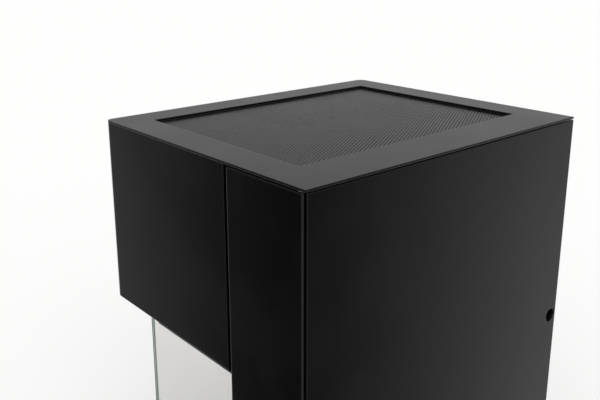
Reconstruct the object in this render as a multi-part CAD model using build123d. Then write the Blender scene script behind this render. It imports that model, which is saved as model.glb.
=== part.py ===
from build123d import *
import math
import os

# Benchtop solder fume extractor: a sheet-steel cabinet with a glazed work zone under a hood.
# Air leaves the work zone through slots in the column wall, crosses a pre-filter, a particle filter
# and a carbon filter that stand side by side in the column, passes through a window into the hood,
# and is drawn up by a plug fan that blows it out through the perforated grille in the top plate.
# Frame: origin on the bench under the middle of the cabinet, +X to the right, +Y to the back, +Z up.
# All sizes are in millimetres.

# ---- cabinet ----
WIDTH = 300.0
DEPTH = 363.0
HEIGHT = 460.0
HOOD_HEIGHT = 190.0
COLUMN_WIDTH = 100.0
SHEET = 1.5
TOP_SHEET = 2.0
CORNER_RADIUS = 8.0
BEND_RADIUS = 2.5
HOOD_LIP = 21.5
JAMB_DEPTH = 15.0
BASE_HEIGHT = 30.0
MAT_THICKNESS = 2.0
MAT_GAP = 1.0
MAT_CORNER_RADIUS = 3.0
SEAM = 0.5
OVERCUT = 1.0
FOLD_WIDTH = 12.0

# ---- feet ----
FOOT_HEIGHT = 10.0
FOOT_RADIUS = 14.0
FOOT_CHAMFER = 1.5
FOOT_INSET = 28.0
FOOT_RECESS = 6.0
FOOT_SCREW_RADIUS = 2.0
FOOT_HEAD_HEIGHT = 3.0
FOOT_HEAD_CLEARANCE = 1.0
FOOT_NUT_RADIUS = 3.5
FOOT_NUT_HEIGHT = 3.0
FOOT_SCREW_END = 1.5
SCREW_CLEARANCE = 0.2

# ---- top grille ----
GRILLE_MARGIN_LEFT = 33.0
GRILLE_MARGIN_RIGHT = 48.0
GRILLE_MARGIN_FRONT = 36.0
GRILLE_MARGIN_BACK = 34.5
GRILLE_RECESS = 2.8
GRILLE_GAP = 0.75
LEDGE_WIDTH = 8.0

# ---- service door of the column ----
DOOR_DEPTH = 12.0
DOOR_GAP_LEFT = 3.2
DOOR_GAP_RIGHT = 1.7
DOOR_GAP_TOP = 1.2
DOOR_GAP_BOTTOM = 1.5
DOOR_BEND = 2.0
WALL_SETBACK = 5.5
FRAME_SETBACK = 15.0
HINGE_PIN_RADIUS = 2.0
HINGE_PIN_LENGTH = 8.0
RUNNING_FIT = 0.05
BUSH_RADIUS = 3.4
BUSH_LENGTH = 5.0
BUSH_GAP = 0.1
MAGNET_SIZE = 10.0
MAGNET_DEPTH = 5.0
MAGNET_FROM_END = 30.0
CATCH_GAP = 1.0
MAGNET_AIR_GAP = 0.4
DOOR_SEAL_WIDTH = 6.0
DOOR_SEAL_END_GAP = 2.0
DOOR_SEAL_FROM_HINGE = 10.0

# ---- control fascia, recessed below the door ----
FASCIA_HEIGHT = 60.0
FASCIA_RECESS = 10.0
KNOB_RADIUS = 9.0
KNOB_LENGTH = 8.5
KNOB_STANDOFF = 0.8
KNOB_SHAFT_RADIUS = 3.0
KNOB_HOLE_CLEARANCE = 1.0
KNOB_EDGE_RADIUS = 1.5
KNOB_FRONT_WALL = 2.0
KNOB_FROM_RIGHT = 22.0
POINTER_WIDTH = 1.2
POINTER_RAISE = 0.4
POINTER_SINK = 1.0
POINTER_START = 2.0
POINTER_RIM_GAP = 1.8
POT_RADIUS = 8.0
POT_DEPTH = 9.0
POT_BACK_WALL = 1.0
ROCKER_WIDTH = 13.0
ROCKER_HEIGHT = 19.0
ROCKER_TILT = 12.0
ROCKER_GAP = 0.4
ROCKER_END_GAP = 1.2
ROCKER_AXLE_RADIUS = 1.0
ROCKER_AXIS_DEPTH = 3.0
ROCKER_CREST = 1.5
ROCKER_KEEL = 4.0
ROCKER_SHOULDER = 0.72
ROCKER_FROM_LEFT = 20.0
BEZEL_RIM = 2.0
BEZEL_THICKNESS = 2.0
SWITCH_DEPTH = 14.0
SWITCH_FLOOR = 2.0
LED_RADIUS = 1.5
LED_PITCH = 7.0
LED_COUNT = 3
LED_LENGTH = 5.0
BOARD_THICKNESS = 1.6
BOARD_BEHIND_SWITCH = 4.0
BOARD_LEFT_GAP = 4.0
BOARD_COVER_GAP = 2.0
BOARD_TOP_GAP = 6.0
RELAY_SIZE = (16.0, 14.0, 16.0)
RELAY_LEFT_OF_SWITCH = 6.0
TERMINAL_SIZE = (24.0, 9.0, 8.0)
TERMINAL_LEFT_OF_KNOB = 20.0

# ---- side cover and its lock ----
COVER_SETBACK = 2.0
COVER_AIR_GAP = 1.5
COVER_GAP_TOP = 1.2
COVER_GAP_BOTTOM = 1.5
COVER_FLANGE = 11.0
COVER_BACK_FLANGE = 14.0
LOCK_HOLE_RADIUS = 7.5
LOCK_FROM_BACK = 10.5
LOCK_BELOW_TOP = 217.0
LOCK_BARREL_RADIUS = 6.0
LOCK_HOUSING_RADIUS = 8.5
LOCK_HOUSING_LENGTH = 8.5
LOCK_FACE_RECESS = 6.0
LOCK_SOCKET_FLATS = 5.0
LOCK_SOCKET_DEPTH = 4.0
CAM_THICKNESS = 2.0
CAM_WIDTH = 8.0
CAM_TIP_RADIUS = CAM_WIDTH / 3
CAM_REACH = 18.0
CAM_CLEARANCE = 0.5
KEEPER_WIDTH = 13.0
KEEPER_ABOVE_HOUSING = 3.5
KEEPER_BASE_LENGTH = 24.0
KEEPER_THICKNESS = 2.0

# ---- glazing ----
GLASS_THICKNESS = 3.0
GLASS_CHAMFER = 0.4
GLASS_INSET = 25.0
VISOR_SIDE_GAP = 4.0
HAND_OPENING = 96.0
VISOR_AXIS_DROP = 8.0
VISOR_TOP_DROP = 18.0
VISOR_RAIL_RADIUS = 6.0
VISOR_RAIL_BITE = 6.0
VISOR_RAIL_WALL = 2.0
VISOR_PIN_RADIUS = 2.5
VISOR_PIN_ENGAGEMENT = 10.0
BRACKET_LENGTH = 12.0
BRACKET_RADIUS = 7.0
BRACKET_INSET = 6.0
BRACKET_END_GAP = 1.0
BRACKET_LIP_GAP = 0.3
PULL_DEPTH = 11.0
PULL_HEIGHT = 10.0
PULL_WALL = 2.0
PULL_LIP_THICKNESS = 3.0
PULL_LIP_RADIUS = 1.2
SEAL_BITE = 6.0
SEAL_WALL = 1.5
SEAL_SHORTER = 6.0
GLASS_GAP = 0.5

# ---- filters, standing side by side in the column ----
FILTER_HEADROOM = 59.0
FILTER_FRONT_GAP = 15.0
FILTER_BACK_GAP = 30.0
FILTER_FRAME = 6.0
FILTER_GAP = 2.0
CORE_INSET = 2.0
RETURN_DUCT = 11.0
PREFILTER_THICKNESS = 10.0
PARTICLE_THICKNESS = 40.0
PLEAT_PITCH = 12.0
PLEAT_THICKNESS = 1.2
CORE_GAP = 0.5
INTAKE_SLOT_LENGTH = 58.0
INTAKE_SLOT_HEIGHT = 3.5
INTAKE_SLOT_PITCH = 8.0
INTAKE_COLUMN_PITCH = 70.0
INTAKE_MARGIN = 12.0
WINDOW_MARGIN = 12.0

# ---- fan ----
FAN_CHAMBER_HEIGHT = 96.0
IMPELLER_WALL_GAP = 14.25
IMPELLER_EYE_RADIUS = 53.0
IMPELLER_TOP_GAP = 30.0
BLADE_HEIGHT = 48.0
BLADE_COUNT = 7
BLADE_THICKNESS = 1.8
BLADE_ROOT_RADIUS = 46.0
BLADE_SWEEP = 40.0
BLADE_BOW = 0.18
BLADE_TIP_INSET = 1.0
BLADE_BITE = 0.75
WHEEL_PLATE = 2.0
THROAT_LENGTH = 8.0
NOZZLE_CLEARANCE = 1.5
NOZZLE_OVERLAP = 3.0
NOZZLE_WALL = 1.5
NOZZLE_FLANGE_RADIUS = 72.0
MOTOR_BASE_RADIUS = 30.0
MOTOR_BASE_HEIGHT = 6.0
ROTOR_RADIUS = 26.0
ROTOR_HEIGHT = 30.0
ROTOR_FLANGE_RADIUS = 36.0
ROTOR_FLANGE_THICKNESS = 2.0
ROTOR_WALL = 2.0
ROTOR_PROUD = 4.0
STATOR_RADIUS = 21.0
STATOR_HEIGHT = 18.0
STATOR_TEETH = 9
STATOR_TOOTH = 8.0
STATOR_TOOTH_WIDTH = 5.0
STATOR_AIR_GAP = 2.0
TUBE_AIR_GAP = 1.0
MOTOR_TUBE_RADIUS = 8.0
MOTOR_SHAFT_RADIUS = 2.5
SHAFT_END_GAP = 2.0
BEARING_RADIUS = 5.5
BEARING_WIDTH = 5.0
BRIDGE_WIDTH = 30.0
BRIDGE_DROP = 12.0
BRIDGE_FOOT = 16.0
BRIDGE_CLEARANCE = 12.0
MOUNT_HEIGHT = 6.0
MOUNT_RADIUS = 7.0

# ---- lamp, power supply and mains inlet ----
LAMP_SIDE_GAP = 25.5
LAMP_WIDTH = 30.0
LAMP_DEPTH = 4.0
LAMP_RIM = 2.0
LAMP_RIM_THICKNESS = 1.2
LAMP_FIT = 0.2
LAMP_FROM_FRONT = 90.0
SUPPLY_SIZE = (62.0, 120.0, 22.0)
SUPPLY_STANDOFF = 2.0
SUPPLY_POST_INSET = 6.0
SUPPLY_POST_RADIUS = 3.0
INLET_FACE = (27.5, 20.0)
INLET_FIT = 0.4
INLET_CHAMFER = 4.0
INLET_FLANGE = (50.0, 23.0)
INLET_FLANGE_THICKNESS = 2.0
INLET_CAVITY = (24.5, 17.0)
INLET_CAVITY_DEPTH = 16.0
INLET_BODY_DEPTH = 24.0
INLET_PIN = (2.0, 4.0)
INLET_PIN_LENGTH = 14.0
INLET_PIN_ROOT = 1.0
INLET_PIN_PITCH = 14.0
INLET_EARTH_OFFSET = 4.0
INLET_FROM_RIGHT = 50.0

# ---- countersunk case screws ----
CASE_SCREW_RADIUS = 1.5
CASE_SCREW_HEAD_RADIUS = 3.0
CASE_SCREW_LENGTH = 5.0
CASE_SCREW_MARGIN = 20.0

# ---- planes that the pieces share ----
LEFT, RIGHT = -WIDTH / 2, WIDTH / 2
FRONT, BACK = -DEPTH / 2, DEPTH / 2
PAN_TOP = FOOT_HEIGHT + BASE_HEIGHT - SHEET
FLOOR = FOOT_HEIGHT + BASE_HEIGHT
MAT_TOP = FLOOR + MAT_THICKNESS
HOOD_BOTTOM = HEIGHT - HOOD_HEIGHT
CEILING = HOOD_BOTTOM + SHEET
PLATE_UNDER = HEIGHT - TOP_SHEET
BACK_INNER = BACK - SHEET
COLUMN_LEFT = RIGHT - COLUMN_WIDTH
COLUMN_INNER = COLUMN_LEFT + SHEET
COVER_INNER = RIGHT - SHEET
COLUMN_RIGHT = COVER_INNER - COVER_AIR_GAP
DECK_TOP = PLATE_UNDER - FAN_CHAMBER_HEIGHT
DECK_UNDER = DECK_TOP - SHEET

FRAME_FRONT = FRONT + FRAME_SETBACK
FRAME_BACK = FRAME_FRONT + SHEET
FASCIA_X = (COLUMN_LEFT + DOOR_GAP_LEFT, COVER_INNER - DOOR_GAP_RIGHT)
FASCIA_Z = (FLOOR + DOOR_GAP_BOTTOM, FLOOR + FASCIA_HEIGHT)
FASCIA_FACE = FRONT + FASCIA_RECESS
DOOR_X = FASCIA_X
DOOR_Z = (FASCIA_Z[1] + DOOR_GAP_BOTTOM, PLATE_UNDER - DOOR_GAP_TOP)
HINGE_INSET = SHEET + BUSH_RADIUS + BUSH_GAP
HINGE_X = DOOR_X[1] - HINGE_INSET
HINGE_Y = FRONT + HINGE_INSET

GRILLE_X = (LEFT + GRILLE_MARGIN_LEFT, RIGHT - GRILLE_MARGIN_RIGHT)
GRILLE_Y = (FRONT + GRILLE_MARGIN_FRONT, BACK - GRILLE_MARGIN_BACK)
GRILLE_TOP = HEIGHT - GRILLE_RECESS
LEDGE_TOP = GRILLE_TOP - SHEET
LEDGE_UNDER = LEDGE_TOP - SHEET

COVER_Y = (FRONT + COVER_SETBACK, BACK)
COVER_Z = (FLOOR + COVER_GAP_BOTTOM, PLATE_UNDER - COVER_GAP_TOP)
LOCK_Y = BACK - LOCK_FROM_BACK
LOCK_Z = HEIGHT - LOCK_BELOW_TOP
BARREL_X = (COVER_INNER - LOCK_HOUSING_LENGTH - CAM_THICKNESS, RIGHT - LOCK_FACE_RECESS)
CAM_X = (BARREL_X[0] - CAM_THICKNESS, BARREL_X[0])

VISOR_X = (LEFT + GLASS_INSET, COLUMN_LEFT - VISOR_SIDE_GAP)
VISOR_FRONT = FRONT + GLASS_INSET
VISOR_BACK = VISOR_FRONT + GLASS_THICKNESS
VISOR_AXIS_Y = (VISOR_FRONT + VISOR_BACK) / 2
VISOR_AXIS_Z = HOOD_BOTTOM - VISOR_AXIS_DROP
VISOR_Z = (MAT_TOP + HAND_OPENING, HOOD_BOTTOM - VISOR_TOP_DROP)
BRACKET_LEFT_X = (VISOR_X[0] + BRACKET_INSET, VISOR_X[0] + BRACKET_INSET + BRACKET_LENGTH)
BRACKET_RIGHT_X = (VISOR_X[1] - BRACKET_INSET - BRACKET_LENGTH, VISOR_X[1] - BRACKET_INSET)
RAIL_X = (BRACKET_LEFT_X[1] + BRACKET_END_GAP, BRACKET_RIGHT_X[0] - BRACKET_END_GAP)

SIDE_GLASS_X = (VISOR_X[0], VISOR_X[0] + GLASS_THICKNESS)
SIDE_GLASS_Y = (VISOR_BACK + GLASS_GAP, BACK_INNER - SEAL_WALL)
SIDE_GLASS_Z = (FLOOR + SEAL_WALL, HOOD_BOTTOM - SEAL_WALL)

SHELF_UNDER = FASCIA_Z[1]
SHELF_TOP = SHELF_UNDER + SHEET
FILTER_Y = (FRAME_BACK + FILTER_FRONT_GAP, BACK_INNER - FILTER_BACK_GAP)
FILTER_Z = (SHELF_TOP, DECK_UNDER - FILTER_HEADROOM)
PREFILTER_X = (COLUMN_INNER + CORE_GAP, COLUMN_INNER + CORE_GAP + PREFILTER_THICKNESS)
PARTICLE_X = (PREFILTER_X[1] + FILTER_GAP, PREFILTER_X[1] + FILTER_GAP + PARTICLE_THICKNESS)
CARBON_X = (PARTICLE_X[1] + FILTER_GAP, COLUMN_RIGHT - RETURN_DUCT)

FAN_X = (LEFT + SHEET + COLUMN_LEFT) / 2
FAN_Y = 0.0
IMPELLER_RADIUS = (COLUMN_LEFT - LEFT - SHEET) / 2 - IMPELLER_WALL_GAP
MOTOR_TOP = PLATE_UNDER - BRIDGE_DROP - SHEET
HUB_TOP = PLATE_UNDER - IMPELLER_TOP_GAP
HUB_UNDER = HUB_TOP - WHEEL_PLATE
SHROUD_TOP = HUB_UNDER - BLADE_HEIGHT
SHROUD_UNDER = SHROUD_TOP - WHEEL_PLATE
THROAT_UNDER = SHROUD_TOP - THROAT_LENGTH
ROTOR_UNDER = HUB_UNDER - ROTOR_HEIGHT + ROTOR_PROUD
BRIDGE_Y = IMPELLER_RADIUS + BRIDGE_CLEARANCE

KNOB_X = FASCIA_X[1] - KNOB_FROM_RIGHT
ROCKER_X = FASCIA_X[0] + ROCKER_FROM_LEFT
FASCIA_MID_Z = (FASCIA_Z[0] + FASCIA_Z[1]) / 2
INLET_X = RIGHT - INLET_FROM_RIGHT
INLET_Z = (FOOT_HEIGHT + SHEET + PAN_TOP) / 2


# ---- shapes that several pieces use ----

def block(x, y, z):
    """A rectangular solid that fills the (low, high) range given on each axis."""
    centre = [(low + high) / 2 for low, high in (x, y, z)]
    size = [high - low for low, high in (x, y, z)]
    return Pos(*centre) * Box(*size)


def disc(x, y, z, radius):
    """A cylinder along the one axis that is given as a (low, high) range."""
    span = next(value for value in (x, y, z) if isinstance(value, tuple))
    turn = {0: Rot(0, 90, 0), 1: Rot(90, 0, 0), 2: Rot(0, 0, 0)}
    axis = [index for index, value in enumerate((x, y, z)) if isinstance(value, tuple)][0]
    centre = [sum(value) / 2 if isinstance(value, tuple) else value for value in (x, y, z)]
    return Pos(*centre) * turn[axis] * Cylinder(radius, span[1] - span[0])


def ring(x, y, z, outer, inner):
    """A tube along the one axis that is given as a (low, high) range."""
    return disc(x, y, z, outer) - disc(x, y, z, inner)


def grown(span, amount):
    """A (low, high) range made longer by the amount at both ends."""
    return (span[0] - amount, span[1] + amount)


def outline(inset=0.0):
    """Plan of the cabinet drawn in by the inset: rounded at the two left corners, sharp at the right."""
    plan = Rectangle(WIDTH - 2 * inset, DEPTH - 2 * inset)
    left_corners = plan.vertices().group_by(Axis.X)[0]
    return fillet(left_corners, CORNER_RADIUS - inset)


def rectangular_frame(x, y, z, rim, axis):
    """A block with a window through it along the axis, leaving a rim of the given width."""
    spans = [x, y, z]
    window = [span if index == axis else grown(span, -rim) for index, span in enumerate(spans)]
    window[axis] = grown(spans[axis], OVERCUT)
    return block(*spans) - block(*window)


def foot_places():
    """Centres of the four feet, in plan."""
    return [(sx * (WIDTH / 2 - FOOT_INSET), sy * (DEPTH / 2 - FOOT_INSET)) for sx in (-1, 1) for sy in (-1, 1)]


def group(solids):
    """Several separate solids kept together as one node."""
    return Compound(children=list(solids))


# ---- base ----

def base_pan():
    """Folded tray that holds the power supply and stands on the feet."""
    outer = extrude(Pos(0, 0, FOOT_HEIGHT) * outline(), PAN_TOP - FOOT_HEIGHT)
    outer = fillet(outer.edges().group_by(Axis.Z)[0], BEND_RADIUS)
    inner = extrude(Pos(0, 0, FOOT_HEIGHT + SHEET) * outline(SHEET), BASE_HEIGHT)
    inner = fillet(inner.edges().group_by(Axis.Z)[0], BEND_RADIUS - SHEET)
    pan = outer - inner
    through = (FOOT_HEIGHT - OVERCUT, FOOT_HEIGHT + SHEET + OVERCUT)
    for x, y in foot_places():
        pan -= disc(x, y, through, FOOT_SCREW_RADIUS + SCREW_CLEARANCE)
    half_width, half_height = INLET_FACE[0] / 2, INLET_FACE[1] / 2
    pan -= block((INLET_X - half_width, INLET_X + half_width), (BACK - 2 * SHEET, BACK + OVERCUT),
                 (INLET_Z - half_height, INLET_Z + half_height))
    return pan


def base_plate():
    """Flat lid of the base, which is also the floor of the work zone."""
    return extrude(Pos(0, 0, PAN_TOP) * outline(), SHEET)


def feet():
    """Four rubber feet with a recess for the screw head."""
    solids = []
    for x, y in foot_places():
        foot = disc(x, y, (0, FOOT_HEIGHT), FOOT_RADIUS)
        foot = chamfer(foot.edges().group_by(Axis.Z)[0], FOOT_CHAMFER)
        foot -= disc(x, y, (-1, FOOT_RECESS), 2 * FOOT_SCREW_RADIUS + FOOT_HEAD_CLEARANCE)
        foot -= disc(x, y, (0, FOOT_HEIGHT + OVERCUT), FOOT_SCREW_RADIUS + SCREW_CLEARANCE)
        solids.append(foot)
    return group(solids)


def foot_screws():
    """A pan-head screw and its nut at each foot."""
    solids = []
    nut_z = (FOOT_HEIGHT + SHEET, FOOT_HEIGHT + SHEET + FOOT_NUT_HEIGHT)
    nut = extrude(RegularPolygon(FOOT_NUT_RADIUS, 6, major_radius=False), FOOT_NUT_HEIGHT)
    for x, y in foot_places():
        screw = disc(x, y, (FOOT_RECESS - FOOT_HEAD_HEIGHT, FOOT_RECESS), 2 * FOOT_SCREW_RADIUS)
        screw += disc(x, y, (FOOT_RECESS, nut_z[1] + FOOT_SCREW_END), FOOT_SCREW_RADIUS)
        solids.append(screw + Pos(x, y, nut_z[0]) * nut)
    return group(solids)


def work_mat():
    """Silicone mat on the floor of the work zone."""
    corner = (SIDE_GLASS_X[1] + SEAL_WALL, FRONT + GLASS_INSET)
    mat_x = (corner[0] + MAT_GAP, COLUMN_LEFT - MAT_GAP)
    mat = block(mat_x, (corner[1], BACK_INNER - MAT_GAP), (FLOOR, MAT_TOP))
    return fillet(mat.edges().filter_by(Axis.Z), MAT_CORNER_RADIUS)


# ---- hood and cabinet panels ----

def hood_shell():
    """One folded sheet: front, left side and back of the hood, returned under as a lip."""
    height = PLATE_UNDER - HOOD_BOTTOM
    outer = extrude(Pos(0, 0, HOOD_BOTTOM) * outline(), height)
    outer = fillet(outer.edges().group_by(Axis.Z)[0], BEND_RADIUS)
    inner = extrude(Pos(0, 0, CEILING) * outline(SHEET), height)
    inner = fillet(inner.edges().group_by(Axis.Z)[0], BEND_RADIUS - SHEET)
    shell = outer - inner
    below = HOOD_BOTTOM - OVERCUT
    shell -= block((LEFT + HOOD_LIP, RIGHT), (FRONT + HOOD_LIP, BACK - HOOD_LIP), (below, CEILING + OVERCUT))
    column_x = (COLUMN_LEFT, RIGHT + OVERCUT)
    shell -= block(column_x, grown((FRONT, BACK), OVERCUT), (below, PLATE_UNDER + OVERCUT))
    jamb_x = (COLUMN_LEFT - SHEET, COLUMN_LEFT)
    jamb = block(jamb_x, (FRONT + SHEET, FRONT + JAMB_DEPTH), (CEILING, PLATE_UNDER))
    return shell + jamb


def hood_floor():
    """Ceiling of the work zone, laid on the hood's lip, with the cut-out for the lamp."""
    floor = extrude(Pos(0, 0, CEILING) * outline(SHEET + BEND_RADIUS), SHEET)
    floor -= block((COLUMN_LEFT, RIGHT), (FRONT, BACK), (CEILING - OVERCUT, CEILING + SHEET + OVERCUT))
    floor -= block((COLUMN_LEFT - 2 * SHEET, COLUMN_LEFT), (FRONT, FRONT + JAMB_DEPTH + OVERCUT),
                   (CEILING - OVERCUT, CEILING + SHEET + OVERCUT))
    return floor - lamp_space((CEILING - OVERCUT, CEILING + SHEET + OVERCUT), 0.0)


def top_frame():
    """Flat top plate with the rectangular opening for the grille."""
    plate = extrude(Pos(0, 0, PLATE_UNDER) * outline(), TOP_SHEET)
    return plate - block(GRILLE_X, GRILLE_Y, (PLATE_UNDER - OVERCUT, HEIGHT + OVERCUT))


def grille_seat():
    """Folded ledge under the opening that carries the grille."""
    wall = block(grown(GRILLE_X, SHEET), grown(GRILLE_Y, SHEET), (LEDGE_UNDER, PLATE_UNDER))
    wall -= block(GRILLE_X, GRILLE_Y, (LEDGE_TOP, PLATE_UNDER + OVERCUT))
    open_x, open_y = grown(GRILLE_X, -LEDGE_WIDTH), grown(GRILLE_Y, -LEDGE_WIDTH)
    return wall - block(open_x, open_y, (LEDGE_UNDER - OVERCUT, LEDGE_TOP))


def exhaust_grille():
    """The perforated sheet, here as a plain plate of its outer size."""
    return block(grown(GRILLE_X, -GRILLE_GAP), grown(GRILLE_Y, -GRILLE_GAP), (LEDGE_TOP, GRILLE_TOP))


def work_back_panel():
    """Back wall of the work zone, folded forward at its free edge behind the side glass."""
    left = SIDE_GLASS_X[0] - 2 * SHEET
    panel = block((left, COLUMN_LEFT), (BACK_INNER, BACK), (FLOOR, HOOD_BOTTOM))
    return panel + block((left, left + SHEET), (BACK_INNER - FOLD_WIDTH, BACK_INNER), (FLOOR, HOOD_BOTTOM))


def column_wall():
    """Upright wall between the work zone and the column: intake slots, plenum window, fan window."""
    wall = block((COLUMN_LEFT, COLUMN_INNER), (FRONT + WALL_SETBACK, BACK_INNER), (FLOOR, PLATE_UNDER))
    through = grown((COLUMN_LEFT, COLUMN_INNER), OVERCUT)
    for y, z in intake_places():
        wall -= block(through, grown((y, y), INTAKE_SLOT_LENGTH / 2), grown((z, z), INTAKE_SLOT_HEIGHT / 2))
    window_y = grown(FILTER_Y, -WINDOW_MARGIN)
    wall -= block(through, window_y, (CEILING + SHEET + WINDOW_MARGIN, DECK_UNDER - WINDOW_MARGIN))
    wall -= block(through, window_y, (DECK_TOP + WINDOW_MARGIN, LEDGE_UNDER - WINDOW_MARGIN))
    return wall - block(through, grown(GRILLE_Y, SHEET + SEAM), (LEDGE_UNDER - SEAM, PLATE_UNDER + OVERCUT))


def intake_places():
    """Centres (y, z) of the intake slots, between the filter's foot and the work zone's ceiling."""
    low, high = FILTER_Z[0] + INTAKE_MARGIN, min(HOOD_BOTTOM, FILTER_Z[1]) - INTAKE_MARGIN
    rows = int((high - low) // INTAKE_SLOT_PITCH) + 1
    columns = int((FILTER_Y[1] - FILTER_Y[0] - INTAKE_MARGIN) // INTAKE_COLUMN_PITCH)
    first = (FILTER_Y[0] + FILTER_Y[1] - INTAKE_COLUMN_PITCH * (columns - 1)) / 2
    return [(first + column * INTAKE_COLUMN_PITCH, low + row * INTAKE_SLOT_PITCH)
            for column in range(columns) for row in range(rows)]


def column_back_panel():
    """Back wall of the column, up to the side cover's folded edge."""
    return block((COLUMN_LEFT, RIGHT - COVER_BACK_FLANGE - SEAM), (BACK_INNER, BACK), (FLOOR, PLATE_UNDER))


def column_front_frame():
    """Front of the column behind the door, with the opening that the filters slide through."""
    frame = block((COLUMN_INNER, COLUMN_RIGHT), (FRAME_FRONT, FRAME_BACK), (SHELF_TOP, PLATE_UNDER))
    opening_x = (PREFILTER_X[0], CARBON_X[1] + FILTER_GAP)
    opening_z = (SHELF_TOP - OVERCUT, DECK_UNDER - FOLD_WIDTH)
    return frame - block(opening_x, grown((FRAME_FRONT, FRAME_BACK), OVERCUT), opening_z)


def bay_shelves():
    """Floor and roof of the filter bay: it stands over the electronics and under the fan chamber."""
    x = (COLUMN_INNER, COLUMN_RIGHT)
    floor = block(x, (FRAME_FRONT, BACK_INNER), (SHELF_UNDER, SHELF_TOP))
    roof = block(x, (FRAME_BACK, BACK_INNER), (DECK_UNDER, DECK_TOP))
    return group([floor, roof])


def fan_deck():
    """Carries the fan, with a round hole under it for the inlet nozzle."""
    deck = extrude(Pos(0, 0, DECK_UNDER) * outline(SHEET), SHEET)
    deck -= block((COLUMN_LEFT, RIGHT), (FRONT, BACK), (DECK_UNDER - OVERCUT, DECK_TOP + OVERCUT))
    deck -= block((COLUMN_LEFT - 2 * SHEET, COLUMN_LEFT), (FRONT, FRONT + JAMB_DEPTH + OVERCUT),
                  (DECK_UNDER - OVERCUT, DECK_TOP + OVERCUT))
    return deck - disc(FAN_X, FAN_Y, (DECK_UNDER - OVERCUT, DECK_TOP + OVERCUT), nozzle_radius())


# ---- side cover and its lock ----

def side_cover():
    """Large flat cover of the column, folded in at its top, bottom and back edges."""
    face = block((COVER_INNER, RIGHT), COVER_Y, COVER_Z)
    flange_x, flange_y = (RIGHT - COVER_FLANGE, RIGHT), (FRAME_BACK + SEAM, BACK_INNER)
    top = block(flange_x, flange_y, (COVER_Z[1] - SHEET, COVER_Z[1]))
    bottom = block(flange_x, flange_y, (COVER_Z[0], COVER_Z[0] + SHEET))
    back = block((RIGHT - COVER_BACK_FLANGE, RIGHT), (BACK_INNER, BACK), COVER_Z)
    cover = face + top + bottom + back
    return cover - disc(grown((COVER_INNER, RIGHT), OVERCUT), LOCK_Y, LOCK_Z, LOCK_HOLE_RADIUS)


def lock_housing():
    """Bush behind the hole in the side cover that the lock barrel turns in."""
    span = (COVER_INNER - LOCK_HOUSING_LENGTH, COVER_INNER)
    return ring(span, LOCK_Y, LOCK_Z, LOCK_HOUSING_RADIUS, LOCK_BARREL_RADIUS + RUNNING_FIT)


def lock_barrel():
    """Round lock barrel, set back in its hole, with a hexagonal key socket."""
    barrel = disc(BARREL_X, LOCK_Y, LOCK_Z, LOCK_BARREL_RADIUS)
    mouth = Plane(origin=(BARREL_X[1], LOCK_Y, LOCK_Z), z_dir=(-1, 0, 0))
    socket = extrude(mouth * RegularPolygon(LOCK_SOCKET_FLATS / 2, 6, major_radius=False), LOCK_SOCKET_DEPTH)
    return barrel - socket


def lock_cam():
    """Tongue on the end of the barrel, pointing forward while the cover is unlocked."""
    boss = disc(CAM_X, LOCK_Y, LOCK_Z, LOCK_BARREL_RADIUS)
    tongue = block(CAM_X, (LOCK_Y - CAM_REACH, LOCK_Y), grown((LOCK_Z, LOCK_Z), CAM_WIDTH / 2))
    return boss + fillet(tongue.edges().filter_by(Axis.X).group_by(Axis.Y)[0], CAM_TIP_RADIUS)


def lock_keeper():
    """Bent strip on the back panel that the raised cam tongue hooks behind."""
    low = LOCK_Z + LOCK_HOUSING_RADIUS + KEEPER_ABOVE_HOUSING
    z = (low, low + KEEPER_WIDTH)
    arm_x = (CAM_X[1] + CAM_CLEARANCE, CAM_X[1] + CAM_CLEARANCE + SHEET)
    flange_x = RIGHT - COVER_BACK_FLANGE - SEAM
    strip_y = (BACK_INNER - KEEPER_THICKNESS, BACK_INNER)
    base = block((flange_x - KEEPER_BASE_LENGTH, flange_x), strip_y, z)
    run = block((flange_x, arm_x[1]), (strip_y[0], BACK_INNER - SEAM), z)
    arm = block(arm_x, (LOCK_Y - CAM_WIDTH, BACK_INNER - SEAM), z)
    return base + run + arm


# ---- service door ----

def service_door():
    """Door of the column: a pan folded back on four sides, bored for its hinge bushes."""
    pan = block(DOOR_X, (FRONT, FRONT + DOOR_DEPTH), DOOR_Z)
    pan = fillet(pan.edges().group_by(Axis.Y)[0], DOOR_BEND)
    pan -= block(grown(DOOR_X, -SHEET), (FRONT + SHEET, FRONT + DOOR_DEPTH + OVERCUT), grown(DOOR_Z, -SHEET))
    for z in DOOR_Z:
        pan -= disc(HINGE_X, HINGE_Y, grown((z, z), SHEET + OVERCUT), BUSH_RADIUS)
    return pan


def door_bush():
    """Nylon bush in the door's lower flange, which turns on the fixed pin."""
    z = (DOOR_Z[0], DOOR_Z[0] + BUSH_LENGTH)
    return ring(HINGE_X, HINGE_Y, z, BUSH_RADIUS, HINGE_PIN_RADIUS + RUNNING_FIT)


def hinge_sleeve():
    """Sprung sleeve in the door's upper flange, pushed down to free the door from its upper pin."""
    z = (DOOR_Z[1] - BUSH_LENGTH, DOOR_Z[1])
    return ring(HINGE_X, HINGE_Y, z, BUSH_RADIUS, HINGE_PIN_RADIUS + RUNNING_FIT)


def hinge_pins():
    """Two fixed pins: one stands on the fascia's top flange, one hangs from the top plate."""
    lower = disc(HINGE_X, HINGE_Y, (FASCIA_Z[1], FASCIA_Z[1] + HINGE_PIN_LENGTH), HINGE_PIN_RADIUS)
    upper = disc(HINGE_X, HINGE_Y, (PLATE_UNDER - HINGE_PIN_LENGTH, PLATE_UNDER), HINGE_PIN_RADIUS)
    return group([lower, upper])


def magnet_heights():
    """Heights of the door's two magnetic catches."""
    return (DOOR_Z[0] + MAGNET_FROM_END, DOOR_Z[1] - MAGNET_FROM_END)


def catch_x():
    """The (low, high) range of a magnetic catch, beside the door's free edge."""
    low = DOOR_X[0] + SHEET + CATCH_GAP
    return (low, low + MAGNET_SIZE / 2)


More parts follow.
